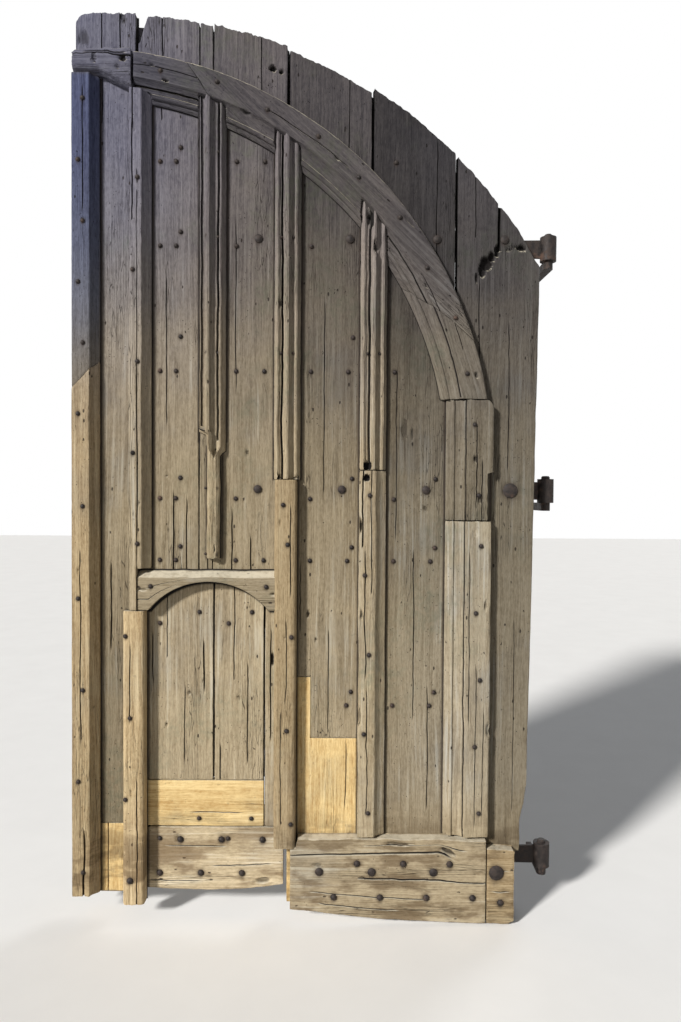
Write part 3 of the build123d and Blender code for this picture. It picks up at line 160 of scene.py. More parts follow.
# Decay and knot holes: across the grain, along it, half width, half length, depth
PITS = {
    "board_1": ((-1893, 3790, 14, 26, 10), (-2062, 3700, 26, 40, 9)),
    "board_2": ((-1640, 3530, 9, 10, 9), (-1700, 1800, 8, 9, 8)),
    "board_4": ((-1240, 3575, 15, 15, 20), (-1203, 3560, 10, 12, 14), (-1345, 1905, 9, 12, 9)),
    "board_5": ((-925, 3050, 9, 20, 18), (-912, 3010, 7, 26, 14), (-1075, 1195, 9, 13, 12), (-1040, 1080, 6, 8, 9)),
    "board_6": ((-700, 3560, 10, 28, 10), (-655, 2010, 16, 40, 8), (-560, 1665, 12, 16, 9), (-620, 1995, 7, 24, 9)),
    "board_7": ((-305, 2736, 25, 30, 30), (-322, 2706, 15, 26, 24), (-281, 2766, 16, 22, 26),
                (-258, 2790, 10, 26, 22), (-149, 2804, 24, 12, 20), (-345, 2672, 9, 22, 12), (-180, 2812, 16, 8, 10),
                (-205, 2798, 20, 7, 9)),
    "arch_rib_haunch": ((30, 380, 9, 14, 10),),
    "arch_rib_middle": ((120, 1950, 9, 22, 12), (70, 1500, 7, 14, 8), (20, 1100, 12, 40, 7), (108, 820, 7, 18, 8)),
    "arch_rib_crown": ((104, 2330, 7, 16, 14), (50, 2400, 7, 12, 8)),
    "rib_jamb_upper": ((-352, 1880, 8, 14, 12), (-330, 1700, 12, 14, 8)),
    "rib_jamb_lower": ((-352, 1551, 12, 14, 5), (-300, 1240, 8, 20, 8), (-285, 700, 10, 30, 8)),
    "arch_crown_block": ((70, -2000, 30, 12, 8), (88, -1880, 9, 14, 16), (60, -1900, 12, 10, 9)),
    "meeting_stile_lower": ((-2070, 1390, 6, 12, 6),),
    "muntin_1": ((-1830, 3300, 9, 30, 7), (-1806, 1680, 6, 10, 8)),
    "muntin_2": ((-1480, 1480, 9, 14, 9),),
    "muntin_3_upper": ((-1207, 1800, 10, 12, 16), (-1129, 1795, 9, 9, 16), (-1200, 2550, 7, 18, 10)),
    "muntin_3_foot": ((-1170, 1100, 7, 9, 7), (-1195, 1600, 6, 9, 6)),
    "muntin_4_upper": ((-810, 2920, 14, 40, 16), (-790, 2790, 14, 26, 14), (-820, 1850, 14, 18, 18)),
    "muntin_4_lower": ((-822, 1795, 16, 14, 22), (-846, 1590, 8, 30, 12), (-840, 1200, 8, 22, 10),
                       (-852, 760, 8, 40, 9)),
    "wicket_jamb": ((-1840, 420, 6, 9, 6),),
    "wicket_head": ((110, -1794, 8, 20, 8), (90, -1225, 10, 14, 10)),
    "bottom_rail": ((300, -667, 14, 60, 9), (262, -457, 16, 40, 12), (200, -1027, 8, 22, 8)),
    "wicket_board_left": ((-1600, 840, 9, 11, 9), (-1700, 700, 6, 8, 8)),
    "wicket_board_middle": ((-1380, 820, 8, 14, 8),),
    "wicket_board_right": ((-1232, 990, 8, 30, 14),),
    "wicket_foot_board": ((235, -1647, 22, 16, 6), (30, -1271, 14, 40, 10)),
}


# Noise and small maths

def hashed(ix, iy, seed):
    """A fixed random number from 0 to 1 for every lattice point."""
    h = (ix * 374761393 + iy * 668265263 + seed * 974711) & 0xFFFFFFFF
    h = ((h ^ (h >> 13)) * 1274126177) & 0xFFFFFFFF
    return ((h ^ (h >> 16)) & 0xFFFF) / 65535.0


def noise(x, y, seed=0):
    """Smooth value noise from 0 to 1 on a unit lattice."""
    x, y = np.broadcast_arrays(np.asarray(x, float), np.asarray(y, float))
    ix, iy = np.floor(x).astype(np.int64), np.floor(y).astype(np.int64)
    fx, fy = x - ix, y - iy
    fx, fy = fx * fx * (3 - 2 * fx), fy * fy * (3 - 2 * fy)
    low = hashed(ix, iy, seed) * (1 - fx) + hashed(ix + 1, iy, seed) * fx
    high = hashed(ix, iy + 1, seed) * (1 - fx) + hashed(ix + 1, iy + 1, seed) * fx
    return low * (1 - fy) + high * fy


def fractal(x, y, seed=0, octaves=3):
    """Several octaves of noise, still from 0 to 1."""
    total, share, weight = 0.0, 0.0, 1.0
    for n in range(octaves):
        total = total + weight * noise(x * 2 ** n, y * 2 ** n, seed + 31 * n)
        share += weight
        weight *= 0.5
    return total / share


def smooth(x):
    """Smoothstep from 0 to 1."""
    x = np.clip(x, 0.0, 1.0)
    return x * x * (3 - 2 * x)


def arc_z(arc, wear=0.0):
    """The height of a circle over a place across the leaf, as a function."""
    return lambda u: arc[1] + np.sqrt(np.maximum((arc[2] - wear) ** 2 - (u - arc[0]) ** 2, 0.0))


def seed_of(name):
    """A fixed seed for a piece."""
    return sum(ord(c) * (i + 3) for i, c in enumerate(name)) % 9973


def span(node):
    """Lowest and highest corner of a node, in millimetres."""
    low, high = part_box(node)
    return [c / MM for c in low], [c / MM for c in high]


# Pieces in the scene

def stand_in(name, mesh, node):
    """An object that is shown for a node and moves with its body."""
    piece = bpy.data.objects.new(name, mesh)
    bpy.context.scene.collection.objects.link(piece)
    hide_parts(node)
    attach(piece, body_of(frame["nodes"][node])[0])
    return piece


def evaluated_mesh(piece):
    """A piece's mesh with its modifiers applied."""
    graph = bpy.context.evaluated_depsgraph_get()
    return bpy.data.meshes.new_from_object(piece.evaluated_get(graph), depsgraph=graph)


# Worn wood as a skin of stations along a section

def dense(section, step, back_step, extra=(), steps=()):
    """Points along a closed section: their places, the distance to the nearest arris, the way round, and the back."""
    corners = np.array(section, float)
    following = np.roll(corners, -1, 0)
    ahead, behind = following - corners, corners - np.roll(corners, 1, 0)
    turn = np.degrees(np.arctan2(behind[:, 0] * ahead[:, 1] - behind[:, 1] * ahead[:, 0], (behind * ahead).sum(1)))
    sharp = np.abs(turn) > 24
    lowest = corners[:, 1].min()
    points, arris, back = [], [], []
    for i, (p, q) in enumerate(zip(corners, following)):
        length = math.hypot(*(q - p))
        hidden = p[1] < lowest + 0.5 and q[1] < lowest + 0.5
        share = list(np.arange(0, 1 - 1e-6, 1 / max(1, round(length / (back_step if hidden else step)))))
        if not hidden and length > 9:
            share += [2.2 / length] if sharp[i] else []
            share += [1 - 2.2 / length] if sharp[(i + 1) % len(corners)] else []
        wanted = list(steps) + ([] if hidden else list(extra))
        share += [(e - p[0]) / (q[0] - p[0]) for e in wanted if (p[0] - e) * (q[0] - e) < 0]
        kept = []
        for s in sorted(share):
            if not kept or (s - kept[-1]) * length > 0.25:
                kept.append(s)
        for s in kept:
            if s > 0.9999:
                continue
            points.append(p + (q - p) * s)
            to_start = s * length if sharp[i] else 99.0
            to_end = (1 - s) * length if sharp[(i + 1) % len(corners)] else 99.0
            arris.append(min(to_start, to_end))
            back.append(hidden)
    points = np.array(points)
    round_way = np.concatenate([[0], np.cumsum(np.hypot(*np.diff(points, axis=0).T))])
    return points[:, 0], points[:, 1], np.array(arris), round_way, np.array(back)


def spaced(values, gap):
    """Values in order, without those nearer than the gap to the one before, the last one kept."""
    kept = []
    for value in sorted(values):
        if not kept or value - kept[-1] > gap or value >= 1.0:
            kept.append(value)
    return np.array(kept)


def signed_volume(points):
    """Signed volume of a skin's side walls, to tell which way its faces look."""
    p = points - points.reshape(-1, 3).mean(0)
    q = np.roll(p, -1, 1)
    return (p[:-1] * (np.cross(q[:-1], q[1:]) + np.cross(q[1:], p[1:]))).sum() / 6


def stations(u, lows, highs, along, deep):
    """Shares of the length at which the section is repeated, close together at the ends and round deep holes."""
    length = highs.max() - lows.min()
    t = np.linspace(0, 1, max(2, int(round(length / along))) + 1)
    if length > 80:
        t = np.unique(np.round(np.concatenate([t, [3 / length, 8 / length, 1 - 8 / length, 1 - 3 / length]]), 5))
    for centre, at, _, half, _ in deep:
        k = np.abs(u - centre).argmin()
        near = (np.arange(at - 1.5 * half, at + 1.5 * half, 4.0) - lows[k]) / (highs[k] - lows[k])
        t = np.concatenate([t, near[(near > 0.002) & (near < 0.998)]])
    return spaced(t, 1.5 / length) if deep else t


def face_wear(s, a, arris, seed):
    """How deep a face is worn: slow hollows, ridges of grain, small chips and softened arrises."""
    worn = 1.7 * fractal(s / 150 + seed, a / 520, seed + 10) + 0.9 * noise(s / 46, a / 170, seed + 11)
    worn += 1.0 * noise(s / 7.5, a / 240, seed + 12) * (0.4 + 0.9 * noise(s / 80, a / 260, seed + 13))
    worn += 0.5 * noise(s / 13, a / 26, seed + 14)
    edge = 0.7 + 2.2 * noise(a / 60, s / 40, seed + 15) + 7.0 * np.clip(noise(a / 21, s / 60, seed + 16) - 0.7, 0, 1)
    return worn + np.exp(-(arris / 3.0) ** 2) * edge


def stick(name, section, low, high, place, lay=90.0, step=5.0, along=12.0, back_step=45.0, wear=1.0,
          cracks=(), pits=(), rough=(0.0, 0.0), steps=(), flatten=None, joint=False, grime=0.0):
    """One worn length of oak: a section swept along its grain, with arrises, cracks, pits and ends worn."""
    seed = seed_of(name)
    fine = [c + k for c, a0, a1, w, depth in cracks for k in (-w / 2 - 1.6, -w / 2, -w / 5, w / 5, w / 2, w / 2 + 1.6)]
    u, v, arris, way, back = dense(section, step, back_step, fine, steps)
    lows = low(u) if callable(low) else np.full_like(u, low)
    highs = high(u) if callable(high) else np.full_like(u, high)
    lows = lows + rough[0] * fractal(u / 17, v / 30, seed + 1)
    highs = highs - rough[1] * fractal(u / 17, v / 30, seed + 2)
    t = stations(u, lows, highs, along, [pit for pit in pits if pit[4] >= 18])
    a = lows[None, :] + (highs - lows)[None, :] * t[:, None]
    U, V = np.broadcast_to(u, a.shape).copy(), np.broadcast_to(v, a.shape).copy()
    front = np.broadcast_to(~back, a.shape)
    groove, dark = np.zeros_like(a), np.zeros_like(a)
    for c, a0, a1, width, depth in cracks:
        near = np.exp(-((u - c) / 28.0) ** 2)[None, :]
        U += ((noise(a / 170, c * 0.37, seed + 5) - 0.5) * 5 + (noise(a / 33, c * 0.53, seed + 6) - 0.5) * 2.4) * near
        fade = smooth((a - a0) / 70) * smooth((a1 - a) / 70) * (0.55 + 0.45 * noise(a / 60, c, seed + 7))
        runs_out = (a0 < lows.min() - 1) & (a < a1 - 70) | (a0 < a) & (a1 > highs.max() + 1)
        fade = np.where(runs_out, np.maximum(fade, 0.8), fade)
        profile = np.clip(1.15 - np.abs(u - c) / (width / 2 + 0.4), 0, 1)[None, :] ** 0.6
        groove = np.maximum(groove, depth * profile * fade * front)
        dark = np.maximum(dark, np.clip(profile * fade * 1.4, 0, 1) * front)
    for c, ac, ru, ra, depth in pits:
        q = np.hypot((U - c) / ru, (a - ac) / ra) + 0.8 * (fractal(U / 11, a / 14, seed + 8) - 0.5)
        hole = smooth((1.25 - q) / 0.7) * front
        groove = np.maximum(groove, depth * hole)
        dark = np.maximum(dark, np.clip(hole * depth / 20, 0, 0.85))
    if joint:
        dark = np.maximum(dark, np.broadcast_to(smooth((v.max() - 5 - v) / 7) * (~back), a.shape))
    # Painted shade: the section is darkened close to the boards, at the foot of the moulding where shade falls.
    if grime:
        dark = np.maximum(dark, np.broadcast_to(0.8 * smooth((grime - v) / grime), a.shape))
    if flatten is not None:
        U, V = flatten(U, V, a)
    P = place(U, V, a)
    normal = np.cross(np.roll(P, -1, 1) - np.roll(P, 1, 1), np.gradient(P, axis=0))
    normal /= np.maximum(np.linalg.norm(normal, axis=2, keepdims=True), 1e-9)
    if signed_volume(P) < 0:
        normal = -normal
    end = np.minimum(a - lows[None, :], highs[None, :] - a)
    lost_depth = face_wear(way[None, :], a, arris[None, :], seed) + 1.6 * np.exp(-(end / 5.0) ** 2)
    P = P - normal * (np.where(front, lost_depth, 0.35 * lost_depth) * wear + groove)[:, :, None]
    turn = math.radians(lay)
    grain = np.stack([-P[:, :, 0] * math.sin(turn) + P[:, :, 2] * math.cos(turn) + 317.0 * (seed % 29), P[:, :, 1],
                      P[:, :, 0] * math.cos(turn) + P[:, :, 2] * math.sin(turn) + 911.0 * (seed % 17)], 2)
    return {"points": P, "grain": grain, "cavity": dark, "normal": normal, "section": (u, v)}


def stain_and_shade_of(P, normal):
    """Dark iron marks round and below the nails and bolts in a piece's face, and a painted shade line on the boards
    along the mouldings' feet.
    """
    total = np.zeros(P.shape[:2])
    low, high = P.reshape(-1, 3).min(0), P.reshape(-1, 3).max(0)
    for x, y, z, radius in MARKS:
        if not (low[0] - 5 < x < high[0] + 5 and low[2] - 5 < z < high[2] + 200 and low[1] - 12 < y < high[1] + 12):
            continue
        dx, dz = P[:, :, 0] - x, P[:, :, 2] - z
        total += 0.9 * np.exp(-(np.hypot(dx, dz) / (radius * 1.35)) ** 2)
        total += 0.3 * np.exp(-(dx / (radius * 0.7)) ** 2) * np.exp(np.minimum(dz, 0) / 90) * (dz < 0)
    # Painted shade: a dark line on the boards along each moulding's foot, where its shade falls.
    if low[1] < BOARD_FRONT + 9 and high[1] > BOARD_FRONT + 20:
        for x, z0, z1 in MOULDING_EDGES:
            within = smooth((P[:, :, 2] - z0 + 12) / 12) * smooth((z1 + 12 - P[:, :, 2]) / 12)
            total = np.maximum(total, 0.95 * np.exp(-((P[:, :, 0] - x) / 7.5) ** 2) * within)
    return np.clip(total * (normal[:, :, 1] < 0.3), 0, 1)


def cap(u, v):
    """Triangles over a section's end, zipped from its left to its right so that stepped ends stay true."""
    n = len(u)
    order = np.lexsort((v, u))
    start = order[0]
    end = [k for k in order if u[k] > u.max() - 1e-6][0]
    ahead = [(start + k) % n for k in range((end - start) % n + 1)]
    behind = [(start - k) % n for k in range((start - end) % n + 1)]
    a = b = 0
    found = []
    while a < len(ahead) - 1 or b < len(behind) - 1:
        if b == len(behind) - 1 or (a < len(ahead) - 1 and u[ahead[a + 1]] <= u[behind[b + 1]]):
            tri = (ahead[a], ahead[a + 1], behind[b])
            a += 1
        else:
            tri = (ahead[a], behind[b + 1], behind[b])
            b += 1
        if len(set(tri)) == 3:
            found.append(tri)
    return np.array(found)


# Ways to lay a section in the leaf

def on_boards(u, v, a):
    """Upright on the boards' face: across, stand-off, up."""
    return np.stack([u, BOARD_FRONT - v, a], 2)


def across_boards(u, v, a):
    """Level on the boards' face: up, stand-off, along the leaf."""
    return np.stack([a, BOARD_FRONT - v, u], 2)


def polar_place(arc):
    """Round an arc: distance in from the outer edge, stand-off, degrees."""
    def place(u, v, a):
        radius, turn = arc[2] - u, np.radians(a / ARC_STEP)
        return np.stack([arc[0] + radius * np.cos(turn), BOARD_FRONT - v, arc[1] + radius * np.sin(turn)], 2)
    return place


# Wood pieces

def wood_piece(node, parts, slot="oak", tone=1.0, top_tone=None):
    """Joins the parts into one closed mesh that stands for a node, its tone changing towards the top."""
    verts, faces, grain, cavity, stain = [], [], [], [], []
    base = 0
    for part in parts:
        P = part["points"]
        ns, nr = P.shape[:2]
        i, j = np.meshgrid(np.arange(ns - 1), np.arange(nr), indexing="ij")
        k = (j + 1) % nr
        quads = np.stack([i * nr + j, i * nr + k, (i + 1) * nr + k, (i + 1) * nr + j], 2).reshape(-1, 4)
        ends = cap(*part["section"])
        first, last = ends[:, ::-1], ends + (ns - 1) * nr
        if signed_volume(P) < 0:
            quads, first, last = quads[:, ::-1], first[:, ::-1], last[:, ::-1]
        faces += (quads + base).tolist() + (first + base).tolist() + (last + base).tolist()
        verts.append(P.reshape(-1, 3) * MM)
        grain.append(part["grain"].reshape(-1, 3) * MM)
        cavity.append(part["cavity"].ravel())
        stain.append(stain_and_shade_of(P, part["normal"]).ravel())
        base += ns * nr
    verts = np.concatenate(verts)
    mesh = bpy.data.meshes.new("worn_" + node)
    mesh.from_pydata(verts.tolist(), [], faces)
    mesh.attributes.new("grain", "FLOAT_VECTOR", "POINT").data.foreach_set("vector", np.concatenate(grain).ravel())
    # The tone's change towards the top is partly weathering and partly painted shade of the upper leaf.
    climb = smooth((verts[:, 2] - 0.5) / 2.6)
    shade = tone + ((tone if top_tone is None else top_tone) - tone) * climb
    for name, values in (("cavity", np.concatenate(cavity)), ("stain", np.concatenate(stain)), ("tone", shade)):
        mesh.attributes.new(name, "FLOAT", "POINT").data.foreach_set("value", values)
    mesh.shade_smooth()
    mesh.set_sharp_from_angle(angle=SHARP_WOOD)
    mesh.materials.append(materials()[slot])
    return stand_in("worn_" + node, mesh, node)


def worn(node, section, low, high, place=on_boards, slot="oak", tone=1.0, top_tone=None, after=None, **details):
    """A piece that is one length of worn wood, with its own cracks and holes."""
    part = stick(node, section, low, high, place, cracks=CRACKS.get(node, ()), pits=PITS.get(node, ()), **details)
    return wood_piece(node, [after(part) if after else part], slot, tone, top_tone)


# Sections

def slab(x0, x1, back=-40.0, front=0.0):
    """A plain rectangular section."""
    return [(x0, back), (x0, front), (x1, front), (x1, back)]


def lapped(x0, x1, left, right, back=-40.0, front=0.0):
    """A board's section with thin laps behind, which keep the light out of its joints."""
    lip = back + 9
    return [(x0 - left, back), (x0 - left, lip), (x0, lip), (x0, front), (x1, front), (x1, lip), (x1 + right, lip),
            (x1 + right, back)]


def bowed(p, q, sag, steps):
    """Points of a shallow hollow between p and q, ends left out."""
    dx, dy = q[0] - p[0], q[1] - p[1]
    length = math.hypot(dx, dy)
    found = []
    for n in range(1, steps):
        t = n / steps
        bow = 4 * t * (1 - t) * sag
        found.append((p[0] + dx * t + bow * dy / length, p[1] + dy * t - bow * dx / length))
    return found


def plain_section(left, face, base, proud):
    """A flat face and a wide hollow chamfer on its right."""
    arris, fillet = (left + face, proud), (left + base, proud * 0.3)
    return [(left, 0), (left, proud), arris] + bowed(arris, fillet, 5, 5) + [fillet, (left + base, 0)]


def muntin_section(x, shift=0.0):
    """Middle nose between two hollows, fillets outside them, chamfered edges; shift moves the nose sideways."""
    half, nose = 61.0, 12.0
    right = [(6.6, MOULDING), (nose, MOULDING - 5), (nose + 1, MOULDING - 17)]
    right += bowed(right[-1], (39.0, 37.0), 10, 5) + [(39.0, 37.0), (46.0, 37.0), (half, 4.0), (half, 0.0)]
    left = [(-u, v) for u, v in reversed(right)]
    return [(x + u + shift * (1 - abs(u) / half), v) for u, v in left + right]


def chamfered(x, width, proud, c=11.0):
    """Squared repair with chamfered arrises."""
    half = width / 2
    return [(x - half, 0), (x - half, proud - c), (x - half + c, proud), (x + half - c, proud),
            (x + half, proud - c), (x + half, 0)]


def rib_section():
    """Fascia, hollow, roll and lip, from the outer edge inwards."""
    ridge, foot, quirk = (FASCIA, MOULDING), (FASCIA + 36, 27.5), (FASCIA + 43, 27.5)
    roll, roll_foot = (FASCIA + 55, 34.1), (FASCIA + 69, 18.7)
    return ([(0, 0), (0, 42), (4, 46), ridge] + bowed(ridge, foot, 7, 5) + [foot, quirk] + bowed(quirk, roll, -3, 3)
            + [roll] + bowed(roll, roll_foot, -3, 3) + [roll_foot, (RIB_WIDTH, 11), (RIB_WIDTH, 0)])


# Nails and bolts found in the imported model

def loose_parts(node):
    """Boxes of a node's separate solids, in millimetres."""
    data = frame["nodes"][node].data
    co = np.empty(len(data.vertices) * 3)
    data.vertices.foreach_get("co", co)
    co = co.reshape(-1, 3) / MM
    keys, index = np.unique(np.round(co, 2), axis=0, return_inverse=True)
    index = index.ravel()
    tris = np.empty(len(data.loops), np.int32)
    data.loops.foreach_get("vertex_index", tris)
    tris = index[tris].reshape(-1, 3)
    label = np.arange(len(keys))
    while True:
        least = label[tris].min(1)
        fresh = label.copy()
        for n in range(3):
            np.minimum.at(fresh, tris[:, n], least)
        fresh = fresh[fresh]
        if (fresh == label).all():
            break
        label = fresh
    return [(keys[label == k].min(0), keys[label == k].max(0)) for k in np.unique(label)]


def nail_marks():
    """Each nail's and rivet's place on the front, as (x, y, z, radius)."""
    marks = []
    for node in ("leaf_nails", "wicket_nails", "hinge_rivets"):
        for low, high in loose_parts(node):
            marks.append(((low[0] + high[0]) / 2, low[1] + 6, (low[2] + high[2]) / 2, (high[0] - low[0]) / 2))
    return marks


MARKS = nail_marks()


# Node trees as expressions

class Value:
    """A node socket that takes arithmetic."""

    def __init__(self, nodes, socket):
        self.nodes, self.socket = nodes, socket

    def __add__(self, other):
        return self.nodes.maths("ADD", self, other)

    def __radd__(self, other):
        return self.nodes.maths("ADD", other, self)

    def __sub__(self, other):
        return self.nodes.maths("SUBTRACT", self, other)

    def __rsub__(self, other):
        return self.nodes.maths("SUBTRACT", other, self)

    def __mul__(self, other):
        return self.nodes.maths("MULTIPLY", self, other)

    def __rmul__(self, other):
        return self.nodes.maths("MULTIPLY", other, self)


class Nodes:
    """Writes the node tree of a material, a world or a node group."""

    def __init__(self, owner):
        self.owner = self.tree = owner
        if not isinstance(owner, bpy.types.NodeTree):
            owner.use_nodes = True
            self.tree = owner.node_tree
        self.tree.nodes.clear()

    def node(self, kind, settings=None, inputs=None, output=0):
        """Adds a node: its settings first, then the values or links of its sockets."""
        made = self.tree.nodes.new(kind)
        for name, value in (settings or {}).items():
            setattr(made, name, value)
        for name, value in (inputs or {}).items():
            socket = made.inputs[name]
            if isinstance(value, Value):
                self.tree.links.new(value.socket, socket)
            elif socket.type == "RGBA" and len(value) == 3:
                socket.default_value = (*value, 1.0)
            else:
                socket.default_value = value
        return Value(self, made.outputs[output]) if len(made.outputs) else made

    def maths(self, operation, *values):
        return self.node("ShaderNodeMath", {"operation": operation}, dict(enumerate(values)))

    def vectors(self, operation, first, second):
        return self.node("ShaderNodeVectorMath", {"operation": operation}, {0: first, 1: second})

    def attribute(self, name, output="Fac"):
        return self.node("ShaderNodeAttribute", {"attribute_name": name}, {}, output)

    def place(self):
        return self.node("ShaderNodeTexCoord", {}, {}, "Object")

    def part(self, vector, axis):
        return self.node("ShaderNodeSeparateXYZ", {}, {0: vector}, axis)

    def noise(self, vector, scale=1.0, detail=3.0, roughness=0.55, output="Fac"):
        """Noise at a scale, or stretched where the scale has three parts."""
        if isinstance(scale, tuple):
            vector, scale = self.vectors("MULTIPLY", vector, scale), 1.0
        return self.node("ShaderNodeTexNoise", {}, {"Vector": vector, "Scale": scale, "Detail": detail,
                                                    "Roughness": roughness}, output)

    def cells(self, vector, scale, feature="F1"):
        return self.node("ShaderNodeTexVoronoi", {"feature": feature},
                         {"Vector": self.vectors("MULTIPLY", vector, scale), "Scale": 1.0}, "Distance")

    def rise(self, value, low, high, to_low=0.0, to_high=1.0):
        return self.node("ShaderNodeMapRange", {"interpolation_type": "SMOOTHSTEP"},
                         {"Value": value, "From Min": low, "From Max": high, "To Min": to_low, "To Max": to_high})

    def mix(self, factor, first, second, blend="MIX"):
        return self.node("ShaderNodeMix", {"data_type": "RGBA", "blend_type": blend},
                         {0: factor, 6: first, 7: second}, 2)

    def coated(self, colour, *coats):
        """Lays coats over a colour, each a factor and a display colour."""
        for factor, tint in coats:
            colour = self.mix(factor, colour, linear(*tint))
        return colour

    def bump(self, height, strength, distance):
        return self.node("ShaderNodeBump", {}, {"Strength": strength, "Distance": distance, "Height": height})

    def finish(self, sockets):
        self.node("ShaderNodeOutputMaterial", {}, {"Surface": self.node("ShaderNodeBsdfPrincipled", {}, sockets)})
        return self.owner


def linear(*srgb):
    """A display colour, 0 to 255, as the linear colour that renders as it."""
    return tuple(round(((c / 255 + 0.055) / 1.055) ** 2.4 if c > 10 else c / 3294.6, 4) for c in srgb)


def oak_material(name, high_tones, low_tones, checks=1.0, worm=1.0, moss=1.0, wet=(1.5, 3.4)):
    """Weathered oak: grain, streaks, fine checks, worm holes, green growth, darkening by height that is partly dirt and
    partly painted shade, stains and cracks, with painted shade and light where parts meet and on top.
    """
    s = Nodes(bpy.data.materials.new(name))
    grain, place = s.attribute("grain", "Vector"), s.place()
    east, height = s.part(place, "X"), s.part(place, "Z")
    # Grain figures, wavy along the length
    waves = s.vectors("MULTIPLY", s.noise(grain, (3.0, 3.0, 0.9), 2.0, 0.5, "Color"), (0.05, 0.05, 0.0))
    wavy = s.vectors("ADD", grain, waves)
    fibre = s.noise(wavy, (330.0, 330.0, 7.0), 3.0, 0.62)
    streak = s.noise(wavy, (70.0, 70.0, 1.5), 3.0, 0.6)
    band = s.noise(wavy, (17.0, 17.0, 0.5), 2.0, 0.5)
    fleck = s.noise(wavy, (150.0, 150.0, 46.0), 2.0, 0.6)
    blotch, spots = s.noise(place, 2.2, 4.0, 0.6), s.noise(place, 34.0, 3.0, 0.65)
    light = s.rise(fibre * 0.34 + streak * 0.2 + band * 0.14 + fleck * 0.2 + spots * 0.12, 0.34, 0.62)
    # Warm wood below and darker grey wood above: partly weathering, partly painted shade of the upper leaf
    low = s.mix(light, low_tones[0], low_tones[1])
    low = s.mix(s.rise(streak * 0.5 + blotch * 0.5, 0.52, 0.72), low, low_tones[2])
    high = s.mix(light, high_tones[0], high_tones[1])
    high = s.mix(s.rise(streak * 0.5 + blotch * 0.5, 0.54, 0.74), high, high_tones[2])
    colour = s.mix(s.rise(height + (blotch - 0.5) * 1.1, *wet), low, high)
    # Growth, grime, fine checks and worm holes
    green = s.rise(s.noise(place, 1.35, 5.0, 0.7), 0.52, 0.66) * s.rise(spots, 0.34, 0.62) * (0.42 * moss)
    dry = s.rise(s.noise(grain, (9.0, 9.0, 1.3), 2.0, 0.5), 0.55, 0.66)
    check = s.rise(s.cells(wavy, (120.0, 120.0, 4.2), "DISTANCE_TO_EDGE"), 0.0, 0.035, 1.0, 0.0) * dry * checks
    eaten = s.rise(s.noise(place, 3.1, 2.0, 0.5), 0.5, 0.62) * s.rise(s.noise(place, 61.0, 1.0, 0.5), 0.55, 0.6)
    hole = s.rise(s.cells(grain, (95.0, 95.0, 80.0)), 0.1, 0.19, 1.0, 0.0) * eaten * worm
    picked = s.rise(s.noise(place, 19.0, 1.0, 0.5), 0.56, 0.6) * worm
    speck = s.rise(s.cells(grain, (34.0, 34.0, 15.0)), 0.08, 0.15, 1.0, 0.0) * picked
    colour = s.coated(colour, (s.rise(blotch, 0.48, 0.72) * 0.34, (78, 71, 66)), (green, (99, 104, 84)),
                      (s.rise(spots, 0.6, 0.78) * 0.35, (58, 50, 44)), (check * 0.6, (50, 42, 37)),
                      (hole, (26, 21, 18)))
    # Cold light on the upper front and its stile, silvered wood on the hinge side
    facing = s.rise(s.part(place, "Y"), -0.088, -0.078, 1.0, 0.12)
    cool = s.rise(east, -2.05, -1.3, 1.0, 0.0) * s.rise(height, 1.9, 3.0) * 0.9 * facing
    stile = s.rise(east, -1.995, -1.985, 1.0, 0.0) * s.rise(height, 2.1, 2.6) * facing
    stile = stile * s.rise(height, 3.505, 3.53, 1.0, 0.0)
    silver = s.rise(east, -0.85, -0.45) * s.rise(height, 0.2, 0.5)
    for factor, tint in ((cool, (0.78, 0.9, 1.22)), (stile, (0.88, 1.02, 1.42)), (silver, (0.95, 0.99, 1.08))):
        colour = s.mix(factor, colour, s.mix(1.0, colour, tint, "MULTIPLY"))
    # Damp at the foot, each piece's own tone, paler upward faces that are partly dust and partly painted light from
    # above, iron marks with a painted shade line at the mouldings' feet, and the dark of cracks and joints with painted
    # shade in the rebates and at the mouldings' feet
    soaked = s.rise(height, 0.1, 0.4, 1.0, 0.0) * s.rise(s.noise(place, (3.2, 3.2, 9.0), 4.0, 0.65), 0.46, 0.6)
    colour = s.coated(colour, (speck * 0.85, (44, 35, 30)), (soaked * 0.7, (92, 74, 52)))
    tone = s.attribute("tone")
    colour = s.mix(1.0, colour, s.node("ShaderNodeCombineColor", {}, {0: tone, 1: tone, 2: tone}), "MULTIPLY")
    # Painted light: faces that look up are made paler, partly dust and partly the light falling from above.
    dust_and_top_light = s.rise(s.part(s.node("ShaderNodeNewGeometry", {}, {}, "Normal"), "Z"), 0.25, 0.85)
    stain, cavity = s.attribute("stain"), s.attribute("cavity")
    colour = s.coated(colour, (dust_and_top_light * s.rise(spots, 0.3, 0.6, 0.4, 0.75), (208, 199, 178)),
                      (s.rise(stain + (spots - 0.5) * 0.35, 0.1, 0.95) * 0.8, (46, 36, 31)),
                      (s.rise(cavity, 0.08, 0.8), (17, 14, 13)))
    relief = fibre * 0.4 + streak * 0.2 + fleck * 0.4 + spots * 0.55 - check * 1.1 - hole * 1.6 - speck * 1.3
    return s.finish({"Base Color": colour, "Roughness": s.rise(light, 0.0, 1.0, 0.94, 0.8),
                     "Specular IOR Level": 0.22, "Normal": s.bump(relief, 1.0, 0.0034)})


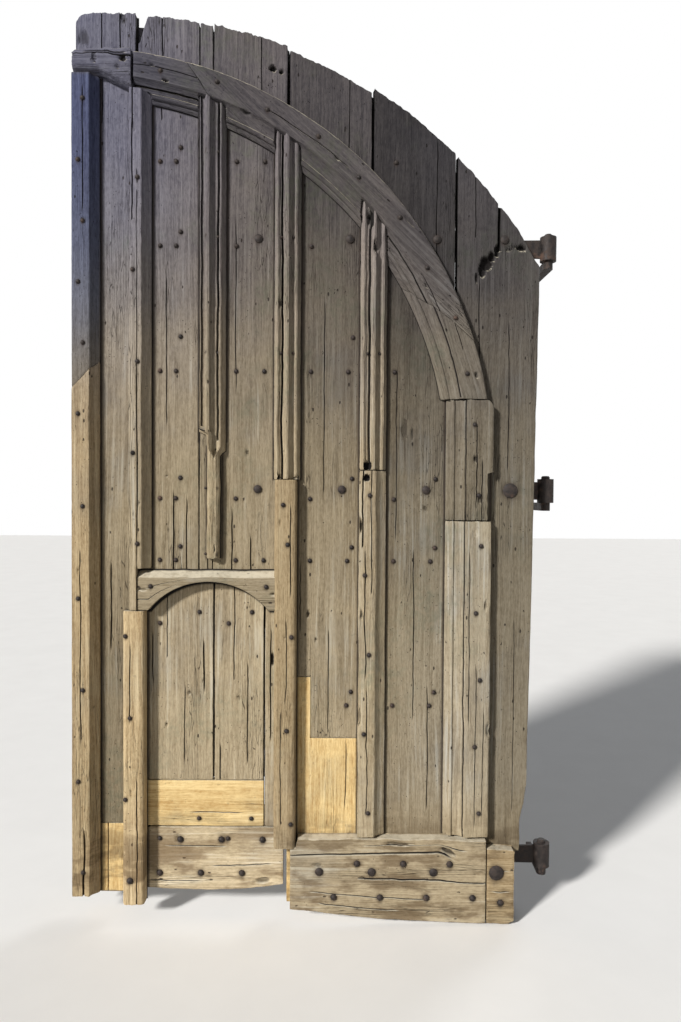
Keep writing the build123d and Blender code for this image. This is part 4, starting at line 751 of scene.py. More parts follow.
def iron_material(name, rust):
    """Forged iron gone dark and rusty: hammer marks, scale, rust bloom and pits."""
    s = Nodes(bpy.data.materials.new(name))
    place = s.place()
    scale, bloom = s.noise(place, 46.0, 5.0, 0.65), s.noise(place, 13.0, 4.0, 0.6)
    pits = s.cells(place, (240.0, 240.0, 240.0))
    hammered = s.cells(place, (52.0, 52.0, 52.0), "SMOOTH_F1")
    rusty = s.rise(bloom + (scale - 0.5) * 0.6, 0.62 - 0.25 * rust, 0.9 - 0.25 * rust)
    colour = s.coated(s.mix(s.rise(scale, 0.35, 0.68), linear(34, 30, 29), linear(66, 58, 54)),
                      (rusty * 0.8, (84, 60, 46)), (s.rise(pits, 0.1, 0.32, 0.6, 0.0), (22, 18, 17)))
    relief = hammered * 0.8 + scale * 0.5 + s.rise(pits, 0.05, 0.3) * 0.25
    return s.finish({"Base Color": colour, "Metallic": s.rise(rusty, 0.0, 1.0, 0.55, 0.05),
                     "Roughness": s.rise(scale, 0.3, 0.7, 0.52, 0.86), "Normal": s.bump(relief, 0.7, 0.0016)})


def materials():
    """The four finishes by slot, made the first time they are asked for."""
    names = {"oak": "oak_weathered", "mended_oak": "oak_mended", "new_oak": "oak_new", "iron": "iron_forged"}
    if names["oak"] not in bpy.data.materials:
        colours = bpy.context.scene.gate_leaf
        old_high = (linear(72, 68, 74), linear(122, 115, 116), linear(146, 139, 137))
        old_low = (linear(126, 111, 86), tuple(colours.old_oak), linear(202, 194, 174))
        mended = (linear(124, 103, 72), tuple(colours.mended_oak), linear(208, 191, 156))
        mended_high = (linear(108, 94, 78), linear(150, 133, 112), linear(170, 156, 134))
        new = (linear(166, 132, 80), tuple(colours.new_oak), linear(236, 216, 168))
        oak_material(names["oak"], old_high, old_low)
        oak_material(names["mended_oak"], mended_high, mended, 0.9, 1.0, 0.3, (1.2, 3.4))
        oak_material(names["new_oak"], new, new, 0.5, 0.25, 0.0, (3.0, 9.0))
        iron_material(names["iron"], colours.rust)
    return {slot: bpy.data.materials[name] for slot, name in names.items()}


# Boards

def stepped(x, left, right):
    """An end with a step in it: its height as a function, and the section's points on both sides of the step."""
    return (lambda u: np.where(u < x, left, right)), (x - 0.4, x + 0.4)


def board_head(number, x0, wear):
    """The head of a board under the arc, with its breaks."""
    arc = arc_z(BOARD_ARC, wear)
    rounding = 45

    def high(u):
        z = arc(u)
        if number == 1:
            inside = np.clip(u - x0, 0, rounding)
            z = z - (rounding - np.sqrt(np.maximum(rounding ** 2 - (rounding - inside) ** 2, 0)))
        if number == 2:
            crown = arc_z(BOARD_ARC)(x0 + 58)
            sloping = crown - 128 + np.clip(u - (x0 + 8), 0, 50) / 50 * 168
            z = np.minimum(z, np.where(u > x0 + 62, 1e6, sloping))
        return z
    return high


def hinge_edge(u, v, a):
    """Draws the hinge board in to its tapered edge and its broken heel."""
    edge = HINGE_EDGE - 42 * np.clip((2730 - a) / 2820, 0, 1)
    heel = np.interp(a, [-91, 285, 415, 440], [34, 20, -4, -6])
    broken = -107 - heel + 6 * (noise(a / 40, 3.0, 5) - 0.5)
    edge = np.minimum(edge, broken + np.where(a > 430, 400, 0)) - 5 * fractal(a / 160, 1.0, 77)
    pull = smooth((u + 190) / 120)
    return np.stack([u + (edge - HINGE_EDGE) * pull, BOARD_FRONT - v, a], 2)


class GATE_OT_boards(bpy.types.Operator):
    """Seven upright boards with their splits, holes, worn heads and the new oak let into their feet"""
    bl_idname = "gate.boards"
    bl_label = "Boards"

    def execute(self, context):
        head_wear = (6, 12, 16, 8, 22, 2, 6)
        # The board tones, at the foot and at the top; the darker tops are partly weathering and partly painted shade of
        # the upper leaf.
        tones = ((0.54, 0.92), (0.65, 0.8), (0.67, 0.72), (0.8, 0.58), (0.8, 0.35), (0.7, 0.18), (0.5, 0.28))
        lap, half_joint = 4.3, 3.3
        for number, (wear, shades) in enumerate(zip(head_wear, tones), 1):
            node = f"board_{number}"
            (left, _, low), (right, _, _) = span(node)
            head, steps, place = board_head(number, left, wear), (), on_boards
            left -= half_joint if number in (3, 4) else 0.0
            right += half_joint if number in (2, 3) else 0.0
            if number == 5:
                low, steps = stepped(PATCH_STEP + 1, 915.0, 644.0)
            if number == 7:
                right, place = HINGE_EDGE, hinge_edge
            ring = lapped(left, right, 0.0 if number in (1, 3, 4) else lap, 0.0 if number in (2, 3, 7) else lap)
            worn(node, ring, low, head, place, "oak", *shades, step=context.scene.gate_leaf.fineness,
                 rough=(3.0, 14.0), steps=steps, joint=True)
        for node in ("board_1_foot_left", "board_1_foot_right"):
            (left, _, low), (right, _, high) = span(node)
            worn(node, slab(left, right), low, high, on_boards, "new_oak", wear=0.6)
        (left, _, low), (right, _, _) = span("board_5_patch")
        high, steps = stepped(PATCH_STEP, 914.0, 643.0)
        worn("board_5_patch", slab(left, right), low, high, on_boards, "new_oak", wear=0.6, steps=steps)
        return {"FINISHED"}


# Mouldings

def scarf(cut, shift):
    """A slanting end across the rib, from the turn at its outer edge to the turn at its inner one."""
    return lambda u: ARC_STEP * (cut[0] + (cut[1] - cut[0]) * np.clip(u / RIB_WIDTH, 0, 1) + shift)


def housed(u, v, a):
    """Flattens the rib's mouldings where a muntin runs over them."""
    radius, turn = RIB_ARC[2] - u, np.radians(a / ARC_STEP)
    x = RIB_ARC[0] + radius * np.cos(turn)
    for x0, x1, top in ((-1559, -1437, RIDGE_ARC[2]), (-1232, -1110, RIDGE_ARC[2]), (-856, -734, RIDGE_ARC[2]),
                        (-1854, -1762, RIDGE_ARC[2] - FIRST_INSET)):
        m = smooth((x - x0 - 4) / 6) * smooth((x1 - 4 - x) / 6) * smooth((top - 3 - radius) / 5)
        v = v * (1 - m) + np.minimum(v, 1.0) * m
    return u, v


def shouldered(u, v, a):
    """Rounds the upper jamb's shoulder and cuts its notch."""
    shoulder, outer = 42.0, JAMB_EDGE + 6
    over = np.clip(a - (JAMB_HEAD - shoulder), 0, shoulder)
    edge = outer - (shoulder - np.sqrt(np.maximum(shoulder ** 2 - over ** 2, 0)))
    edge = np.where(a < 1819, -300.0 + 5 * noise(a / 30, 2.0, 9), edge)
    return np.minimum(u, edge), v


def crown_place(u, v, a):
    """Lays the crown block over the stile's head, its underside falling to the rib and its top rotten."""
    x0, x1, top = -2100.0, -1845.0, RIB_ARC[1] + RIB_ARC[2] + 3.0
    low = np.interp(a, [x0, -2020, x0 + 117, x0 + 170, x1], [top - 112, top - 112, top - 112, top - 140, top - 178])
    high = np.interp(a, [x0, x0 + 60, x0 + 128, x1], [top - 20, top - 10, top - 4, top - 8])
    high = high - 14 * fractal(a / 26, 1.0, 3) * smooth((x1 - a) / 60)
    z = np.where(u <= 26, low + u, low + 26 + (u - 26) / 94 * (high - low - 26))
    return np.stack([a, BOARD_FRONT - v, z], 2)


class GATE_OT_rib(bpy.types.Operator):
    """Arch rib in three scarfed lengths, the straight jamb below it and the crown block"""
    bl_idname = "gate.rib"
    bl_label = "Arch rib and jamb"

    def execute(self, context):
        radii = np.array((RIB_ARC[2], RIB_ARC[2] - RIB_WIDTH))
        foot = np.degrees(np.arcsin((JAMB_HEAD - RIB_ARC[1]) / radii))
        crown = np.degrees(np.arccos((-1836.0 - RIB_ARC[0]) / radii))
        cuts = (foot, foot + (8.11, 18.73), crown - (7.34, 14.53), crown)
        gap = 0.05
        for node, low, high in zip(("arch_rib_haunch", "arch_rib_middle", "arch_rib_crown"), cuts, cuts[1:]):
            worn(node, rib_section(), scarf(low, gap), scarf(high, -gap), polar_place(RIB_ARC), "oak", 0.66, 0.42,
                 lay=(sum(low) + sum(high)) / 4 + 90.0, step=4.5, along=10.0, grime=10.0, flatten=housed)
        jamb = [(JAMB_EDGE - u, v) for u, v in rib_section()]
        upper = [(u + 6 if u == JAMB_EDGE else u, v) for u, v in jamb]
        worn("rib_jamb_upper", upper, JAMB_JOINT + 1, JAMB_HEAD, tone=0.46, steps=(-300.0, -312.0), rough=(2, 6),
             along=8.0, grime=10.0, flatten=shouldered)
        worn("rib_jamb_lower", jamb, RAIL_TOP, JAMB_JOINT - 1, tone=0.86, rough=(4, 5), grime=10.0)
        (left, _, _), (right, _, _) = span("arch_crown_block")
        ring = [(0, 0), (0, 18), (6, 33), (16, 48), (26, MOULDING), (120, MOULDING), (120, 0)]
        worn("arch_crown_block", ring, left, right, crown_place, tone=0.84, lay=0.0, along=7.0, rough=(8, 1))
        return {"FINISHED"}


def lost(u, v, a):
    """Leaves only the middle of a moulding below its break, as a rounded core."""
    share = (u - MUNTINS[0]) / 61.0
    gone = smooth((1925 + 70 * (noise(share * 5, 1.0, 5) - 0.5) + 90 * (share < -0.2) - a) / 22)
    core = -1490 + share * (33 - 4 * noise(a / 70, 2.0 + (share > 0), 8))
    thin = np.where(v > 1, 47 - 20 * np.abs(share) ** 2.4 - 5 * fractal(a / 110, share, 8), v)
    return u * (1 - gone) + core * gone, v * (1 - gone) + np.minimum(thin, 46) * gone


def head_underside(x):
    """Height of the wicket head's arched underside."""
    x0, x1 = HEAD_SPAN
    centre, half, rise = (x0 + x1) / 2, (x1 - x0) / 2 - 50.0, 126.0
    radius = (half ** 2 + rise ** 2) / (2 * rise)
    low = HEAD_FOOT + np.sqrt(np.maximum(radius ** 2 - (x - centre) ** 2, 0)) - (radius - rise)
    return np.where(np.abs(x - centre) < half, np.maximum(low, HEAD_FOOT), HEAD_FOOT)


def head_place(u, v, a):
    """Lays the wicket head over its arch, its top sloping to shed water."""
    low = head_underside(a)
    high = HEAD_TOP - 32.0 * v / 53.0 - 5 * fractal(a / 60, 1.0, 4)
    return np.stack([a, BOARD_FRONT - v, low + u / 180.0 * (high - low)], 2)


class GATE_OT_muntins(bpy.types.Operator):
    """Meeting stile, muntins, wicket jamb and head and the plain repairs, with their cracks and lost mouldings"""
    bl_idname = "gate.muntins"
    bl_label = "Stile and muntins"

    def execute(self, context):
        def slant(z):
            return lambda u: z + (u - STILE_EDGE) * 86.0 / 80.0
        worn("meeting_stile_upper", plain_section(STILE_EDGE, 80.0, 112.0, MOULDING), slant(2176.0),
             span("meeting_stile_upper")[1][2], tone=0.6, top_tone=0.5, grime=11.0)
        worn("meeting_stile_lower", plain_section(STILE_EDGE, 80.0, 112.0, 59.0), -45.0, slant(2174.0),
             slot="mended_oak", tone=0.95, rough=(5, 1), grime=11.0)
        low, steps = stepped(-1819.0, HEAD_FOOT, HEAD_TOP + 2)
        worn("muntin_1", plain_section(-1854.0, 58.0, 92.0, MOULDING), low, arc_z(RIDGE_ARC, FIRST_INSET),
             tone=0.85, top_tone=0.95, steps=steps, grime=11.0)
        carved = {"step": 4.0, "grime": 9.0}
        worn("muntin_2", muntin_section(MUNTINS[0], -20.0), 1436.0, arc_z(RIDGE_ARC), tone=1.05, top_tone=0.85,
             rough=(8, 0), flatten=lost, **carved)
        worn("muntin_3_upper", muntin_section(MUNTINS[1]), 1787.0, arc_z(RIDGE_ARC), tone=0.9, rough=(3, 0), **carved)
        worn("muntin_4_upper", muntin_section(MUNTINS[2]), 1830.0, arc_z(RIDGE_ARC), tone=0.95, rough=(3, 0), **carved)
        worn("muntin_4_lower", plain_section(-856.0, 76.0, 122.0, MOULDING), RAIL_TOP, 1828.0, tone=0.98,
             rough=(3, 4), grime=11.0)
        worn("muntin_3_foot", chamfered(-1173.0, 100.0, 60.0), 173.0, 1785.0, slot="mended_oak", tone=0.76, grime=12.0)
        worn("wicket_jamb", chamfered(-1831.0, 98.0, 60.0), -80.0, HEAD_FOOT - 3, slot="mended_oak", tone=1.13,
             rough=(4, 1), grime=12.0)
        # Its low tone is painted shade: the head's front is darkened as if in shadow.
        worn("wicket_head", [(0, 0), (0, 53), (180, 53), (180, 0)], *HEAD_SPAN, head_place, tone=0.68, lay=0.0,
             along=7.0, rough=(3, 3), grime=18.0)
        return {"FINISHED"}


def rail_place(u, v, a):
    """Lays the bottom rail, its edges worn and its upper part leaning away from the split."""
    x0, x1 = -1147.0, -289.0
    low = np.interp(a, [x0, (x0 + x1) / 2, x1], [-101, -145, -159]) + 7 * fractal(a / 70, 2.0, 6)
    high = np.interp(a, [x0, x1], [222, 216]) - 10 * fractal(a / 80, 3.0, 7) * (0.4 + v / 52)
    high = np.where(a < -1121.5, 172.0, high)
    split, at = 141.0 + (a - x0) / 735.0 * 22.0, low + 240.0 / RAIL * (high - low)
    z = low + u / RAIL * (high - low)
    z = z + (split - at) * np.exp(-((u - 240) / 60.0) ** 2) * smooth((x0 + 760 - a) / 120)
    return np.stack([a, BOARD_FRONT - v, z], 2)


def rail_end_place(u, v, a):
    """Lays the rail's end piece, its outer end worn round."""
    x0, x1 = -285.0, -163.0
    low = np.interp(a, [x0, x1 - 28, x1], [-159, -159, -145]) + 5 * noise(a / 20, 1.0, 3)
    high = np.interp(a, [x0, x1 - 6, x1], [182, 176, 170]) - 8 * fractal(a / 30, 1.0, 5)
    return np.stack([a, BOARD_FRONT - v, low + u / RAIL * (high - low)], 2)


class GATE_OT_rail(bpy.types.Operator):
    """Heavy bottom rail split along its length, and its end piece"""
    bl_idname = "gate.rail"
    bl_label = "Bottom rail"

    def execute(self, context):
        for node, place, slot, tone, along, rough in (
                ("bottom_rail", rail_place, "oak", 0.93, 8.0, (0, 3)),
                ("bottom_rail_end", rail_end_place, "mended_oak", 0.8, 6.0, (2, 5))):
            (left, _, _), (right, _, _) = span(node)
            worn(node, [(0, 0), (0, 52), (RAIL, 52), (RAIL, 0)], left, right, place, slot, tone, lay=0.0, along=along,
                 rough=rough)
        return {"FINISHED"}


# Wicket

def shaded(part):
    """Paints the arched head's shadow onto a wicket board, in the rebate under the head."""
    x, z = part["points"][:, :, 0], part["points"][:, :, 2]
    part["cavity"] = np.maximum(part["cavity"], 0.9 * smooth((z - head_underside(x) + 26) / 20))
    return part


def foot_place(u, v, a):
    """Lays the foot board, its lower edge worn to a shallow curve."""
    x0, x1 = -1822.0, -1181.0
    share = (a - (x0 + x1) / 2) / ((x1 - x0) / 2)
    low = -45.0 + np.where(share < 0, 10.4, 26.0) * share ** 2 + 5 * fractal(a / 50, 2.0, 4)
    high = 244.0 - 5 * fractal(a / 70, 6.0, 9)
    return np.stack([a, BOARD_FRONT - v, low + u / 290.0 * (high - low)], 2)


class GATE_OT_wicket(bpy.types.Operator):
    """Wicket: three upright boards, the new oak piece, the worn foot board and two ledges"""
    bl_idname = "gate.wicket"
    bl_label = "Wicket door"

    def execute(self, context):
        sunk, lap = (-44.0, -4.0), 2.2
        for node, left_lap, right_lap in (("wicket_board_left", 0.0, lap), ("wicket_board_middle", lap, lap),
                                          ("wicket_board_right", lap, 0.0)):
            (left, _, low), (right, _, high) = span(node)
            worn(node, lapped(left, right, left_lap, right_lap, *sunk), low, high, tone=0.94, after=shaded, along=8.0,
                 rough=(2, 3), joint=True)
        (left, _, low), (right, _, high) = span("wicket_patch")
        worn("wicket_patch", slab(low, high, *sunk), left, right, across_boards, "new_oak", lay=0.0, wear=0.6)
        (left, _, _), (right, _, _) = span("wicket_foot_board")
        worn("wicket_foot_board", slab(0, 290, *sunk), left, right, foot_place, tone=1.34, lay=0.0, along=8.0,
             rough=(3, 3))
        for node in ("wicket_ledge_low", "wicket_ledge_high"):
            (left, front, low), (right, back, high) = span(node)
            worn(node, slab(low, high, BOARD_FRONT - back, BOARD_FRONT - front), left, right, across_boards, lay=0.0,
                 **PLAIN)
        return {"FINISHED"}


# Rear frame

def tenon(node, x, outwards, z0, z1):
    """A tenon on a ledge's end."""
    middle = BOARD_FRONT - (FRAME_BACK + BOARD_BACK) / 2
    ends = sorted((x, x + outwards * TENON))
    return stick(node + "_tenon", slab(z0 + 14, z1 - 14, middle - 13, middle + 13), *ends, across_boards, 0.0, 40.0,
                 30.0, 40.0, 0.1)


def mortise(piece, low, high):
    """Cuts a square socket into a piece, between two corners in millimetres."""
    corners = [(x * MM, y * MM, z * MM) for x, y, z in itertools.product(*zip(low, high))]
    sides = [(0, 1, 3, 2), (4, 6, 7, 5), (0, 4, 5, 1), (2, 3, 7, 6), (0, 2, 6, 4), (1, 5, 7, 3)]
    mesh = bpy.data.meshes.new("socket")
    mesh.from_pydata(corners, [], sides)
    cutter = bpy.data.objects.new("socket", mesh)
    bpy.context.scene.collection.objects.link(cutter)
    cut = piece.modifiers.new("socket", "BOOLEAN")
    cut.operation, cut.solver, cut.object = "DIFFERENCE", "EXACT", cutter
    piece.data = evaluated_mesh(piece)
    piece.modifiers.clear()
    bpy.data.objects.remove(cutter)
    piece.data.shade_smooth()
    piece.data.set_sharp_from_angle(angle=SHARP_WOOD)


class GATE_OT_frame(bpy.types.Operator):
    """Rear posts, the seven ledges tenoned into them and the curved member under the board heads"""
    bl_idname = "gate.frame"
    bl_label = "Rear frame"

    def execute(self, context):
        back, front = BOARD_FRONT - FRAME_BACK, BOARD_FRONT - BOARD_BACK
        outer = (*BOARD_ARC[:2], BOARD_ARC[2] - 45.0)
        inner = (*BOARD_ARC[:2], outer[2] - 140.0)
        post = worn("meeting_post", slab(-2095.0, -1845.0, back, front), -70.0, arc_z(outer), tone=0.9, **POST)
        mortise(post, (-1919.0, -82.6, 778.2), (-1841.0, -58.8, 801.8))
        worn("heel_post", slab(-290.0, -160.0, back, front), -70.0, arc_z(outer), tone=0.9, **POST)
        (_, _, low), (_, _, high) = span("hanging_post")
        worn("hanging_post", slab(-1165.0, -1045.0, back, front), low, high, tone=0.95, **POST)

        def under_arch(z):
            return inner[0] + np.sqrt((inner[2] - 0.5) ** 2 - (z - inner[1]) ** 2)
        for name in ("bottom", "lower", "header", "middle", "waist", "upper", "crown"):
            node = "ledge_" + name
            (left, _, low), (right, _, high) = span(node)
            left += TENON
            arched = name in ("upper", "crown")
            right -= 0.0 if arched else TENON
            reach = (lambda z, right=right: np.minimum(right, under_arch(z))) if arched else right
            parts = [stick(node, slab(low, high, back, front), left, reach, across_boards, lay=0.0, **POST),
                     tenon(node, left, -1, low, high)]
            if not arched:
                parts.append(tenon(node, right, 1, low, high))
            wood_piece(node, parts, tone=0.95)

        def limit(x):
            return lambda u: ARC_STEP * np.degrees(np.arccos((x - outer[0]) / (outer[2] - u)))
        worn("frame_arch", [(0, back), (0, front), (140, front), (140, back)], limit(-290.5), limit(-1844.5),
             polar_place(outer), tone=0.9, lay=150.0, **PLAIN)
        return {"FINISHED"}


# Iron

def socket_id(tree, name):
    """The identifier of a tree's input, which a modifier is set by."""
    return next(item.identifier for item in tree.interface.items_tree if item.name == name and item.in_out == "INPUT")


def head_tree():
    """Forged heads and shanks on points: a low domed head with flats, dented at random, on a tapered square shank."""
    tree = bpy.data.node_groups.new("forged_heads", "GeometryNodeTree")
    for name, kind, value in (("Geometry", "Geometry", None), ("Flats", "Int", 7), ("Crown", "Float", 0.42),
                              ("Bulge", "Float", 0.16), ("Dent", "Float", 0.0012), ("Seed", "Int", 3),
                              ("Iron", "Material", None)):
        socket = tree.interface.new_socket(name, in_out="INPUT", socket_type="NodeSocket" + kind)
        if value is not None:
            socket.default_value = value
    tree.interface.new_socket("Geometry", in_out="OUTPUT", socket_type="NodeSocketGeometry")
    g = Nodes(tree)

    def start(name):
        return g.node("NodeGroupInput", {}, {}, name)

    def placed(mesh, size, turn):
        size, turn = (g.node("GeometryNodeInputNamedAttribute", {"data_type": "FLOAT_VECTOR"}, {"Name": name},
                             "Attribute") for name in (size, turn))
        return g.node("GeometryNodeInstanceOnPoints", {}, {
            "Points": start("Geometry"), "Instance": mesh, "Scale": size,
            "Rotation": g.node("FunctionNodeEulerToRotation", {}, {0: turn})})

    cone = g.node("GeometryNodeMeshCone", {}, {"Vertices": start("Flats"), "Side Segments": 3, "Depth": 1.0,
                                               "Radius Top": start("Crown"), "Radius Bottom": 1.0}, "Mesh")
    at = g.node("GeometryNodeInputPosition")
    swell = g.maths("SINE", g.part(at, "Z") * math.pi) * start("Bulge")
    offset = g.node("ShaderNodeCombineXYZ", {}, {0: g.part(at, "X") * swell, 1: g.part(at, "Y") * swell})
    domed = g.node("GeometryNodeSetPosition", {}, {"Geometry": cone, "Offset": offset})
    shank = g.node("GeometryNodeMeshCone", {}, {"Vertices": 4, "Radius Top": 0.08, "Radius Bottom": 1.0, "Depth": 1.0},
                   "Mesh")
    joined = g.node("GeometryNodeJoinGeometry", {}, {0: placed(domed, "head_size", "head_turn")})
    tree.links.new(placed(shank, "shank_size", "shank_turn").socket, joined.socket.node.inputs[0])
    real = g.node("GeometryNodeRealizeInstances", {}, {"Geometry": joined})
    rough = g.node("ShaderNodeTexNoise", {"noise_dimensions": "4D"}, {
        "Vector": g.node("GeometryNodeInputPosition"), "W": start("Seed"), "Scale": 95.0, "Detail": 1.0}, "Color")
    dents = g.node("ShaderNodeVectorMath", {"operation": "SCALE"}, {
        0: g.vectors("SUBTRACT", rough, (0.5, 0.5, 0.5)), "Scale": start("Dent")})
    dented = g.node("GeometryNodeSetPosition", {}, {"Geometry": real, "Offset": dents})
    done = g.node("GeometryNodeSetMaterial", {}, {"Geometry": dented, "Material": start("Iron")})
    g.node("NodeGroupOutput", {}, {0: done})
    return tree


def forged(node, heads, flats, bulge, dent, seed):
    """Grows forged heads on a node's places and lets them stand for it."""
    points = bpy.data.meshes.new(node + "_places")
    points.from_pydata([tuple(c * MM for c in head["at"]) for head in heads], [], [])
    for name in ("head_size", "head_turn", "shank_size", "shank_turn"):
        flat = np.array([head[name] for head in heads], float).ravel()
        points.attributes.new(name, "FLOAT_VECTOR", "POINT").data.foreach_set("vector", flat)
    source = bpy.data.objects.new(node + "_places", points)
    bpy.context.scene.collection.objects.link(source)
    tree = bpy.data.node_groups.get("forged_heads") or head_tree()
    modifier = source.modifiers.new("heads", "NODES")
    modifier.node_group = tree
    for name, value in (("Flats", flats), ("Bulge", bulge), ("Dent", dent), ("Seed", seed),
                        ("Iron", materials()["iron"])):
        modifier[socket_id(tree, name)] = value
    mesh = evaluated_mesh(source)
    source.modifiers.clear()
    bpy.data.objects.remove(source)
    mesh.name = "forged_" + node
    mesh.shade_smooth()
    mesh.set_sharp_from_angle(angle=SHARP_IRON)
    stand_in("forged_" + node, mesh, node)


def forged_head(at, radius, rise, spin, shank=0.0, length=0.0, facing=1):
    """One head and its shank, in millimetres; facing is 1 for the boards' face and -1 for the back."""
    return {"at": at, "head_size": (radius * MM, radius * MM, rise * MM), "head_turn": (facing * math.pi / 2, spin, 0),
            "shank_size": (shank * MM, shank * MM, length * MM), "shank_turn": (-math.pi / 2, math.pi / 4, 0)}


def nail_heads(node):
    """A node's nails as forged heads on tapered shanks."""
    heads = []
    for n, (low, high) in enumerate(loose_parts(node)):
        width, length = high[0] - low[0], high[1] - low[1]
        rise, spin = width * 0.3, hashed(n, 5, 1) * FULL_TURN
        heads.append(forged_head(((low[0] + high[0]) / 2, low[1] + rise + 1.2, (low[2] + high[2]) / 2),
                                 width / 2 * HEAD_SHARE, rise + 0.9, spin, shank=5.4, length=length - rise - 2))
    return heads


def rivet_heads():
    """The hinges' bolts: a domed head on the boards' face and a clenched one on the back."""
    heads = []
    for n, (low, high) in enumerate(loose_parts("hinge_rivets")):
        x, z, width = (low[0] + high[0]) / 2, (low[2] + high[2]) / 2, high[0] - low[0]
        rise, clench = 9.5 if width > 50 else 8.5, 9.0
        length, spin = high[1] - low[1] - rise - clench, hashed(n, 2, 4) * FULL_TURN
        heads.append(forged_head((x, low[1] + rise + 0.5, z), width / 2 * HEAD_SHARE, rise, spin, shank=10.4,
                                 length=length))
        heads.append(forged_head((x, high[1] - clench, z), radius=17.4, rise=8.6, spin=math.pi / 4, facing=-1))
    return heads


class GATE_OT_iron(bpy.types.Operator):
    """Rose-headed nails, domed clench bolts, and the forged finish of hinges, hooks and bolt"""
    bl_idname = "gate.iron"
    bl_label = "Nails and ironwork"

    def execute(self, context):
        size = context.scene.gate_leaf
        for node in ("leaf_nails", "wicket_nails"):
            forged(node, nail_heads(node), size.nail_flats, 0.14, size.dent * MM, 3)
        forged("hinge_rivets", rivet_heads(), 12, 0.3, size.dent * MM, 8)
        iron = materials()["iron"]
        for node, piece in frame["nodes"].items():
            if not piece.hide_render and node.split("_")[0] in ("strap", "pintle", "bolt", "wicket"):
                for place in piece.material_slots:
                    place.material = iron
                if not piece.material_slots:
                    piece.data.materials.append(iron)
        return {"FINISHED"}


# Stage

EYE, TILT, LENS = (-0.935, -3.3732, 1.718), math.radians(90 - 1.2), 26.0
FLOOR_LEVEL, FLOOR_REACH = -0.165, 30.0
KEY_FROM, BACK_FROM = (-0.60, -0.66, 0.45), (0.55, 0.72, 0.42)


def lay_floor():
    """A wide pale floor just under the leaf."""
    pale = Nodes(bpy.data.materials.new("pale_floor"))
    tint = pale.mix(pale.noise(pale.place(), 3.0, 4.0, 0.6), linear(232, 231, 229), linear(241, 240, 238))
    mesh = bpy.data.meshes.new("floor")
    mesh.from_pydata([(x * FLOOR_REACH, y * FLOOR_REACH, FLOOR_LEVEL) for x, y in ((-1, -1), (1, -1), (1, 1), (-1, 1))],
                     [], [(0, 1, 2, 3)])
    mesh.materials.append(pale.finish({"Base Color": tint, "Roughness": 0.9, "Specular IOR Level": 0.1}))
    floor = bpy.data.objects.new("floor", mesh)
    bpy.context.scene.collection.objects.link(floor)


def surround(fill):
    """White to the camera and in reflections; as a light, a dim sky that is brighter on the meeting edge's side."""
    world = bpy.data.worlds.new("surround")
    bpy.context.scene.world = world
    sky = Nodes(world)
    seen = sky.node("ShaderNodeLightPath", {}, {}, "Is Camera Ray")
    for ray in ("Is Glossy Ray", "Is Transmission Ray"):
        seen = sky.maths("MAXIMUM", seen, sky.node("ShaderNodeLightPath", {}, {}, ray))
    across = sky.part(sky.node("ShaderNodeTexCoord", {}, {}, "Generated"), "X")
    side = sky.node("ShaderNodeMapRange", {}, {"Value": across, "From Min": -0.9, "From Max": 0.7, "To Min": fill,
                                               "To Max": fill * 0.14})
    dim = sky.node("ShaderNodeBackground", {}, {"Color": (0.9, 0.94, 1.0), "Strength": side})
    white = sky.node("ShaderNodeBackground", {}, {"Color": (1.0, 1.0, 1.0), "Strength": 1.0})
    sky.node("ShaderNodeOutputWorld", {}, {"Surface": sky.node("ShaderNodeMixShader", {}, {0: seen, 1: dim, 2: white})})


def hang_lamp(name, towards, strength, angle, colour):
    """A sun shining from a direction."""
    lamp = bpy.data.lights.new(name, "SUN")
    lamp.energy, lamp.angle, lamp.color = strength, math.radians(angle), colour
    holder = bpy.data.objects.new(name, lamp)
    holder.rotation_euler = Vector(towards).to_track_quat("Z", "Y").to_euler()
    bpy.context.scene.collection.objects.link(holder)


class GATE_OT_stage(bpy.types.Operator):
    """Pale floor, white surroundings, soft side light and the camera of the photograph"""
    bl_idname = "gate.stage"
    bl_label = "Stage and camera"

    def execute(self, context):
        size, scene = context.scene.gate_leaf, context.scene
        lay_floor()
        surround(size.fill)
        hang_lamp("key", KEY_FROM, size.key, 7.0, (1.0, 0.98, 0.95))
        hang_lamp("back", BACK_FROM, size.back, 20.0, (0.95, 0.97, 1.0))
        lens = bpy.data.cameras.new("view")
        lens.lens, lens.sensor_width, lens.clip_end = LENS, 36.0, 200.0
        camera = bpy.data.objects.new("view", lens)
        tilt, roll = Euler((TILT, 0, 0)), Euler((0, 0, size.roll))
        camera.matrix_world = (Matrix.Translation(EYE) @ tilt.to_matrix().to_4x4() @ roll.to_matrix().to_4x4())
        scene.collection.objects.link(camera)
        scene.camera = camera
        scene.view_settings.view_transform = "Standard"
        return {"FINISHED"}


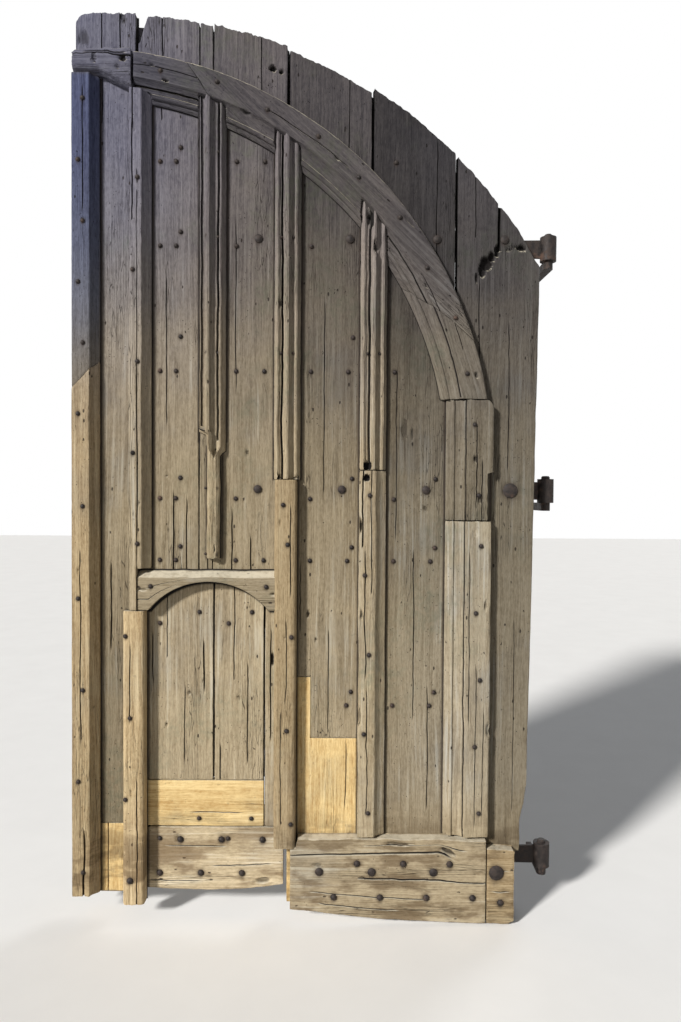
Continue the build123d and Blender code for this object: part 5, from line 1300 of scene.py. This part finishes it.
class GateLeafSettings(bpy.types.PropertyGroup):
    """Sizes and colours a user would change."""
    fineness: FloatProperty(name="Fineness", description="Spacing of the boards' surface, in millimetres", default=5.0,
                            min=3.0)
    nail_flats: IntProperty(name="Nail flats", description="Hammered flats round a nail head", default=7, min=4)
    dent: FloatProperty(name="Dents", description="How far hammer dents move the iron, in millimetres", default=1.6)
    rust: FloatProperty(name="Rust", description="How much rust the iron has", default=0.3, min=0, max=1,
                        subtype="FACTOR")
    old_oak: FloatVectorProperty(name="Old oak", description="Body colour of the old boards", subtype="COLOR", size=3,
                                 default=linear(176, 161, 133), min=0, max=1)
    mended_oak: FloatVectorProperty(name="Mended oak", description="Body colour of the older repairs", size=3,
                                    subtype="COLOR", default=linear(182, 162, 127), min=0, max=1)
    new_oak: FloatVectorProperty(name="New oak", description="Body colour of the new pieces", subtype="COLOR", size=3,
                                 default=linear(218, 193, 140), min=0, max=1)
    key: FloatProperty(name="Key", description="Strength of the side light", default=5.0, min=0.0)
    back: FloatProperty(name="Back", description="Strength of the light on the back", default=0.9, min=0.0)
    fill: FloatProperty(name="Fill", description="Strength of the sky on its bright side", default=0.26, min=0.0)
    roll: FloatProperty(name="Roll", description="Roll of the camera", default=0.006, subtype="ANGLE", unit="ROTATION")


class GATE_PT_panel(bpy.types.Panel):
    """Gate leaf pieces"""
    bl_label = "Gate Leaf"
    bl_idname = "GATE_PT_panel"
    bl_space_type = "VIEW_3D"
    bl_region_type = "UI"
    bl_category = "Gate Leaf"

    def draw(self, context):
        for name in ("fineness", "nail_flats", "dent", "rust", "old_oak", "mended_oak", "new_oak", "key", "back",
                     "fill", "roll"):
            self.layout.prop(context.scene.gate_leaf, name)
        for maker in OPERATORS:
            self.layout.operator(maker.bl_idname)


OPERATORS = (GATE_OT_boards, GATE_OT_rib, GATE_OT_muntins, GATE_OT_rail, GATE_OT_wicket, GATE_OT_frame, GATE_OT_iron,
             GATE_OT_stage)
CLASSES = (GateLeafSettings,) + OPERATORS + (GATE_PT_panel,)


def register():
    """Adds the classes and the settings to the scene."""
    for entry in CLASSES:
        bpy.utils.register_class(entry)
    bpy.types.Scene.gate_leaf = PointerProperty(type=GateLeafSettings)


def unregister():
    """Takes them away again."""
    del bpy.types.Scene.gate_leaf
    for entry in reversed(CLASSES):
        bpy.utils.unregister_class(entry)


def main():
    """Dresses the whole leaf."""
    register()
    for call in (bpy.ops.gate.boards, bpy.ops.gate.rib, bpy.ops.gate.muntins, bpy.ops.gate.rail, bpy.ops.gate.wicket,
                 bpy.ops.gate.frame, bpy.ops.gate.iron, bpy.ops.gate.stage):
        call()


if __name__ == "__main__":
    main()
